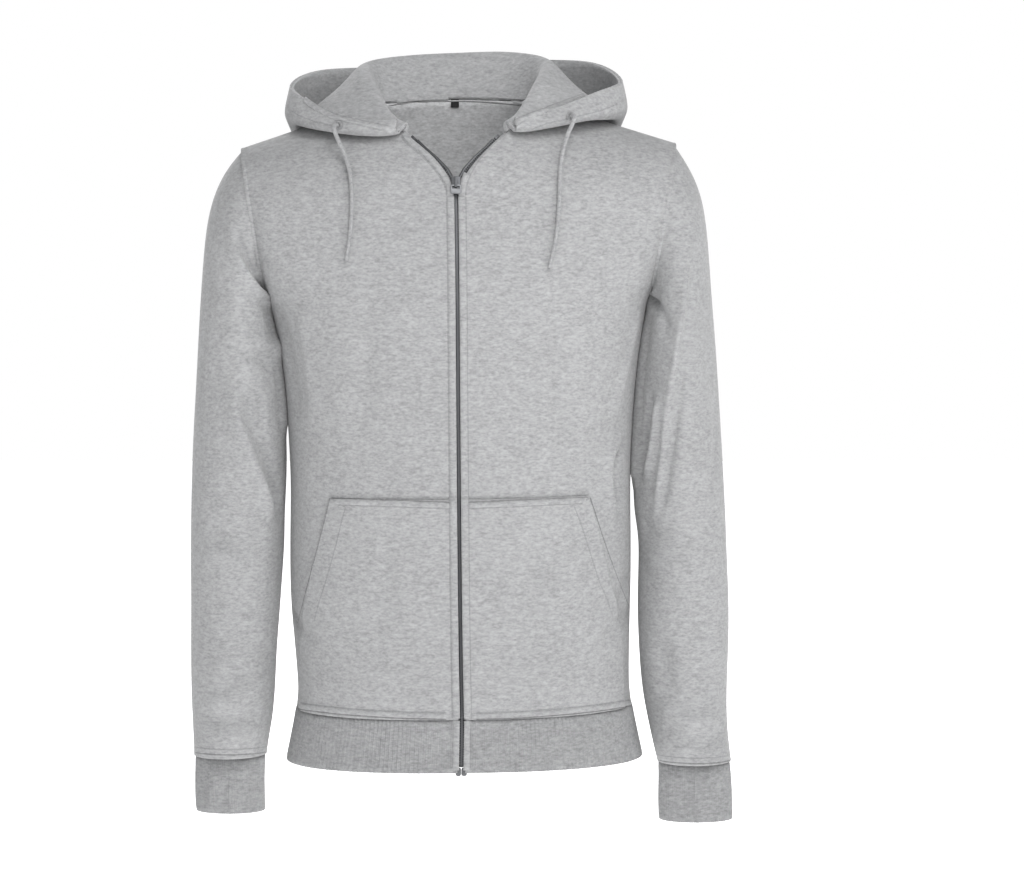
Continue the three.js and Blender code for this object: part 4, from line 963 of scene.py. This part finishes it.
# Each armhole seam is covered by a thin strip. The seam is an oval from the shoulder's tip to
# the armpit, in mm, and `level` is the garment's lean: its rise to a mm of x.
ARMHOLE = {"tip_x": 224.5, "tip_z": -43, "base_x": 198, "base_z": -207.5, "mid_y": 5,
           "half_depth": 70, "middle_x": -0.5, "level": 0.012}
SEAM_COVER = [(-2.7, -0.7), (-1.3, 0.1), (1.3, 0.1), (2.7, -0.7)]


def armhole_seam(side):
    """The whole seam as a line with its facings, in metres."""
    a = ARMHOLE
    line, facings = [], []
    rise = Vector((side * (a["tip_x"] - a["base_x"]), 0, a["tip_z"] - a["base_z"]))
    for degrees in range(0, 361, 4):
        c, s = math.cos(math.radians(degrees)), math.sin(math.radians(degrees))
        x = side * (a["base_x"] + (a["tip_x"] - a["base_x"]) * (c + 1) / 2) + a["middle_x"]
        z = a["base_z"] + (a["tip_z"] - a["base_z"]) * (c + 1) / 2 + a["level"] * x
        line.append(Vector((x, a["mid_y"] - a["half_depth"] * s, z)) * MM)
        facing = rise.normalized() * c * 2 / rise.length
        facings.append((facing - Vector((0, s / a["half_depth"], 0))).normalized())
    return line, facings


strip("seam_arm", [armhole_seam(-1), armhole_seam(1)], SEAM_COVER, fleece)


# Cords

CORD_WIDTH = 4.5 * MM
CORD_TAPER = 0.3                      # the cord loses this share of its width to its tip
CORD_SIDES = 24
CORD_STEP = 0.55 * MM
BRAID_STRANDS = 4                     # each way round
BRAID_LAY = 1.15 * CORD_WIDTH         # length in which a strand goes once round
BRAID_RELIEF = 0.07                   # share of the radius by which a crossing stands out
# From each eyelet to the cord's tip, in mm.
CORD_ROUTES = {
    "drawcord_left": [
        (-124.4, -69.8, -26.4), (-125.9, -72.9, -25.4), (-127.2, -76.4, -26),
        (-127.3, -79.6, -29.6), (-125.8, -81.3, -35), (-122, -82, -43.5),
        (-116.6, -84.6, -56), (-112.2, -89.8, -69), (-109.8, -95.6, -82),
        (-108.5, -103, -105), (-110, -108.9, -135), (-114, -112.2, -164.6),
    ],
    "drawcord_right": [
        (115, -71.8, -17.1), (116.3, -74.8, -16.1), (117.2, -78.2, -16.8),
        (117, -81.4, -20.4), (115, -83.2, -26.2), (110.8, -84, -35.5),
        (106.6, -86.8, -49), (103.9, -91.6, -63), (102.4, -98.2, -81),
        (101.4, -104.4, -105), (98.3, -111.8, -138), (91, -118.4, -171.7),
    ],
}


def braided(name, route):
    """A round braided cord: strands cross over each other in its relief."""
    line = evenly(smoothed_line([Vector(p) * MM for p in route], 10), CORD_STEP)
    reach = lengths_along(line)
    points = []
    side = Vector((1, 0, 0))
    for i, p in enumerate(line):
        way = (line[min(i + 1, len(line) - 1)] - line[max(i - 1, 0)]).normalized()
        side = (side - way * side.dot(way)).normalized()
        up = way.cross(side)
        tip = min(1, (reach[-1] - reach[i]) / (1.2 * MM) + 0.35)
        turn = reach[i] / BRAID_LAY * 2 * math.pi
        taper = 1 - CORD_TAPER * (reach[i] / reach[-1]) ** 2
        for k in range(CORD_SIDES):
            angle = 2 * math.pi * k / CORD_SIDES
            strand = BRAID_STRANDS * angle
            over = max(math.cos(strand + turn), math.cos(strand - turn))
            radius = CORD_WIDTH / 2 * (1 - BRAID_RELIEF + BRAID_RELIEF * over)
            radius *= math.sqrt(tip) * taper
            points.append(p + (side * math.cos(angle) + up * math.sin(angle)) * radius)
    faces = tube_faces(0, len(line), CORD_SIDES)
    obj = link(name.replace("drawcord", "cord"), mesh_from(name, points, faces), cord_braid)
    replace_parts(obj, name)


for node, route in CORD_ROUTES.items():
    braided(node, route)


# Zip

def strip_rows(node):
    """The four corners of each cross-section of a plain zip strip, from its top end down."""
    bm = solid_of(node, 0.05 * MM)
    ordered = sorted((v.co.copy() for v in bm.verts), key=lambda p: -p.z)
    bm.free()
    return [ordered[i:i + 4] for i in range(0, len(ordered), 4)]


TOOTH_PITCH = 2.5 * MM
TOOTH_DEPTH = 0.86                    # of the strip's depth
TOOTH_REACH = 1.25                    # in widths of the strip
TOOTH_HALF = 0.9 * MM
# A tooth from its root to its head: the place along it and its half height, as shares.
TOOTH_SHAPE = [(-0.5, 0.62), (-0.18, 0.42), (0.12, 0.42), (0.36, 0.55), (0.62, 0.30)]
CORE_PLACE = 0.34                     # the core under the teeth, in widths of the strip
CORE_RADIUS = 0.75 * MM
CORE_SIDES = 6
TAPE_INNER = 0.54                     # the tape's edges, in widths of the strip
TAPE_OUTER = 1.1
TAPE_BEHIND = 0.56                    # and how far behind it lies, in depths of the strip


def teeth(name, node, side, first):
    """Small moulded teeth along a zip strip, which reach past the middle where it is closed."""
    rows = strip_rows(node)
    middles = [sum(row, Vector()) / 4 for row in rows]
    # Each row's corners are sorted into inner and outer, and front and behind.
    frames = []
    for row, middle in zip(rows, middles):
        by_x = sorted(row, key=lambda p: -side * p.x)
        inner, outer = (by_x[0] + by_x[1]) / 2, (by_x[2] + by_x[3]) / 2
        ahead = sorted(row, key=lambda p: p.y)
        depth = (ahead[0] + ahead[1]) / 2 - (ahead[2] + ahead[3]) / 2
        frames.append((inner - outer, depth))
    reach = lengths_along(middles)
    points, faces = [], []
    for i in range(int((reach[-1] - first) / TOOTH_PITCH)):
        k, u = place_along(reach, first + i * TOOTH_PITCH)
        centre = middles[k].lerp(middles[k + 1], u)
        across = frames[k][0].lerp(frames[k + 1][0], u)
        depth = frames[k][1].lerp(frames[k + 1][1], u) * TOOTH_DEPTH
        way = (middles[k + 1] - middles[k]).normalized()
        start = len(points)
        for place, half in TOOTH_SHAPE:
            for z in (-1, 1):
                for d in (-0.5, 0.5):
                    points.append(centre + across * place * TOOTH_REACH
                                  + way * z * half * TOOTH_HALF + depth * d)
        for j in range(len(TOOTH_SHAPE) - 1):
            a = start + 4 * j
            for m, n in ((0, 1), (1, 3), (3, 2), (2, 0)):
                faces.append([a + m, a + n, a + n + 4, a + m + 4])
        faces.append([start, start + 2, start + 3, start + 1])
        e = start + 4 * (len(TOOTH_SHAPE) - 1)
        faces.append([e, e + 1, e + 3, e + 2])
    # The core that the teeth are moulded on runs behind them.
    start = len(points)
    for middle, (across, depth) in zip(middles, frames):
        way = depth.normalized()
        for k in range(CORE_SIDES):
            c, w = math.cos(k * math.pi / 3), math.sin(k * math.pi / 3)
            points.append(middle - across * CORE_PLACE
                          + (across.normalized() * c + way * w) * CORE_RADIUS)
    faces += tube_faces(start, len(middles), CORE_SIDES, capped=False)
    obj = link(name, faced_outward(mesh_from(name, points, faces)), zip_metal,
               smooth=False)
    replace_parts(obj, node)
    # The tape goes on behind the teeth to its own beaded edge.
    edge, edge_faces = [], []
    for middle, (across, depth) in zip(middles, frames):
        edge += [middle + across * TAPE_INNER - depth * TAPE_BEHIND,
                 middle - across * TAPE_OUTER - depth * TAPE_BEHIND]
    for i in range(0, len(edge) - 2, 2):
        edge_faces.append([i, i + 1, i + 3, i + 2])
    link(name.replace("teeth", "tape_edge"), mesh_from(name + "_tape", edge, edge_faces),
         tape_weave, smooth=False)


teeth("teeth_left", "zip_teeth_left", -1, 0.0)
teeth("teeth_right", "zip_teeth_right", 1, TOOTH_PITCH / 2)


def bevelled(name, node, material, width, body=GARMENT):
    """The frame's own hard piece with its edges rounded."""
    bm = solid_of(node, 0.005 * MM)
    bmesh.ops.dissolve_limit(bm, angle_limit=math.radians(3), verts=bm.verts, edges=bm.edges)
    sharp = [e for e in bm.edges if len(e.link_faces) == 2
             and e.calc_face_angle(0) > math.radians(40)]
    bmesh.ops.bevel(bm, geom=sharp, offset=width, segments=2, profile=0.6, affect="EDGES",
                    clamp_overlap=True)
    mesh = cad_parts[node].data.copy()
    bm.to_mesh(mesh)
    bm.free()
    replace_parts(link(name, mesh, material, body), node)


bevelled("slider", "zip_slider", slider_metal, 0.22 * MM)
bevelled("pull_tab", "zip_pull", pull_metal, 0.22 * MM, PULL)
for node in ("zip_stop_left", "zip_stop_right", "zip_pin", "zip_box"):
    bevelled(node.replace("zip_", ""), node, zip_metal, 0.18 * MM)

# Pieces whose frame shape is right keep it, and take their own finish.
for node, material in (("zip_tape_left", tape_weave), ("zip_tape_right", tape_weave),
                       ("neck_tape", lining), ("neck_tag", label_weave)):
    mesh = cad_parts[node].data
    mesh.materials.clear()
    mesh.materials.append(material)


# Eyelets

EYELET_THREADS = 34
EYELET_SUNK = 0.45 * MM               # the ring's middle, behind the solid's
# Along a thread: its distance from the hole's middle and its height, in mm.
EYELET_ROWS = [(2.7, 0.0), (2.9, 0.55), (3.6, 0.85), (4.6, 0.75), (5.3, 0.3), (5.5, 0.0)]
EYELET_SPREAD = 0.31 / 3.4            # half a thread's width to its distance


def eyelet(name, node):
    """An embroidered ring: threads side by side, from the hole out to the ring's edge."""
    points = points_of(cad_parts[node].data)
    centre = points.mean(0)
    _, _, axes = np.linalg.svd(points - centre)
    normal = Vector(axes[2])
    if normal.y > 0:
        normal = -normal
    right = normal.orthogonal().normalized()
    up = normal.cross(right)
    centre = Vector(centre) - normal * EYELET_SUNK
    made, faces = [], []
    for i in range(EYELET_THREADS):
        angle = 2 * math.pi * i / EYELET_THREADS
        way = right * math.cos(angle) + up * math.sin(angle)
        side = normal.cross(way)
        start = len(made)
        for reach, high in EYELET_ROWS:
            half = EYELET_SPREAD * reach
            for across, lift in ((-half, -0.1), (-half * 0.6, high * 0.8), (0, high),
                                 (half * 0.6, high * 0.8), (half, -0.1)):
                made.append(centre + (way * reach + side * across + normal * lift) * MM)
        for j in range(len(EYELET_ROWS) - 1):
            for k in range(4):
                a = start + 5 * j + k
                faces.append([a, a + 1, a + 6, a + 5])
    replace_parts(link(name, mesh_from(name, made, faces), cord_braid), node)


eyelet("eyelet_thread_left", "eyelet_left")
eyelet("eyelet_thread_right", "eyelet_right")


# Floor and light

FLOOR_SIZE = 14
FLOOR_Z = -0.80


def make_stage():
    bpy.ops.mesh.primitive_plane_add(size=FLOOR_SIZE, location=(0, 0, FLOOR_Z))
    floor = bpy.context.object
    floor.name = "floor"
    floor.data.materials.append(plain_material("floor", (0.92, 0.92, 0.92), 0.9,
                                               Emission_Color=(1, 1, 1, 1),
                                               Emission_Strength=1.0))


LIT = Vector((0, 0, -0.35))           # the lamps face the garment's middle
LAMP_DISTANCE = 3.3
LAMP_SIZE = 1.0
WORLD_STRENGTH = 0.25


def area_light(name, azimuth, elevation, power, away=LAMP_DISTANCE):
    """A square lamp; azimuth 0 is straight in front and 90 at +X."""
    data = bpy.data.lights.new(name, "AREA")
    data.shape = "RECTANGLE"
    data.size = data.size_y = LAMP_SIZE
    data.energy = power
    lamp = bpy.data.objects.new(name, data)
    bpy.context.collection.objects.link(lamp)
    turn, lift = math.radians(azimuth), math.radians(elevation)
    lamp.location = LIT + away * Vector((math.sin(turn) * math.cos(lift),
                                         -math.cos(turn) * math.cos(lift),
                                         math.sin(lift)))
    lamp.rotation_euler = (LIT - lamp.location).to_track_quat("-Z", "Y").to_euler()


make_stage()
area_light("front", 8, 30, 8.2, away=1.5)
area_light("key", 20, 50, 30)
area_light("side", 48, 22, 13)
area_light("behind", 200, 35, 45)


def make_world():
    """Soft light from all round, before a white studio backdrop."""
    world = bpy.data.worlds.new("studio")
    world.use_nodes = True
    nodes, links = world.node_tree.nodes, world.node_tree.links
    soft = nodes["Background"]
    soft.inputs["Color"].default_value = (0.96, 0.97, 1.0, 1)
    soft.inputs["Strength"].default_value = WORLD_STRENGTH
    white = nodes.new("ShaderNodeBackground")
    white.inputs["Color"].default_value = (1, 1, 1, 1)
    white.inputs["Strength"].default_value = 1.0
    path = nodes.new("ShaderNodeLightPath")
    mix = nodes.new("ShaderNodeMixShader")
    links.new(path.outputs["Is Camera Ray"], mix.inputs[0])
    links.new(soft.outputs[0], mix.inputs[1])
    links.new(white.outputs[0], mix.inputs[2])
    links.new(mix.outputs[0], nodes["World Output"].inputs["Surface"])
    bpy.context.scene.world = world


make_world()
bpy.context.scene.view_settings.view_transform = "Standard"

bpy.context.view_layer.update()
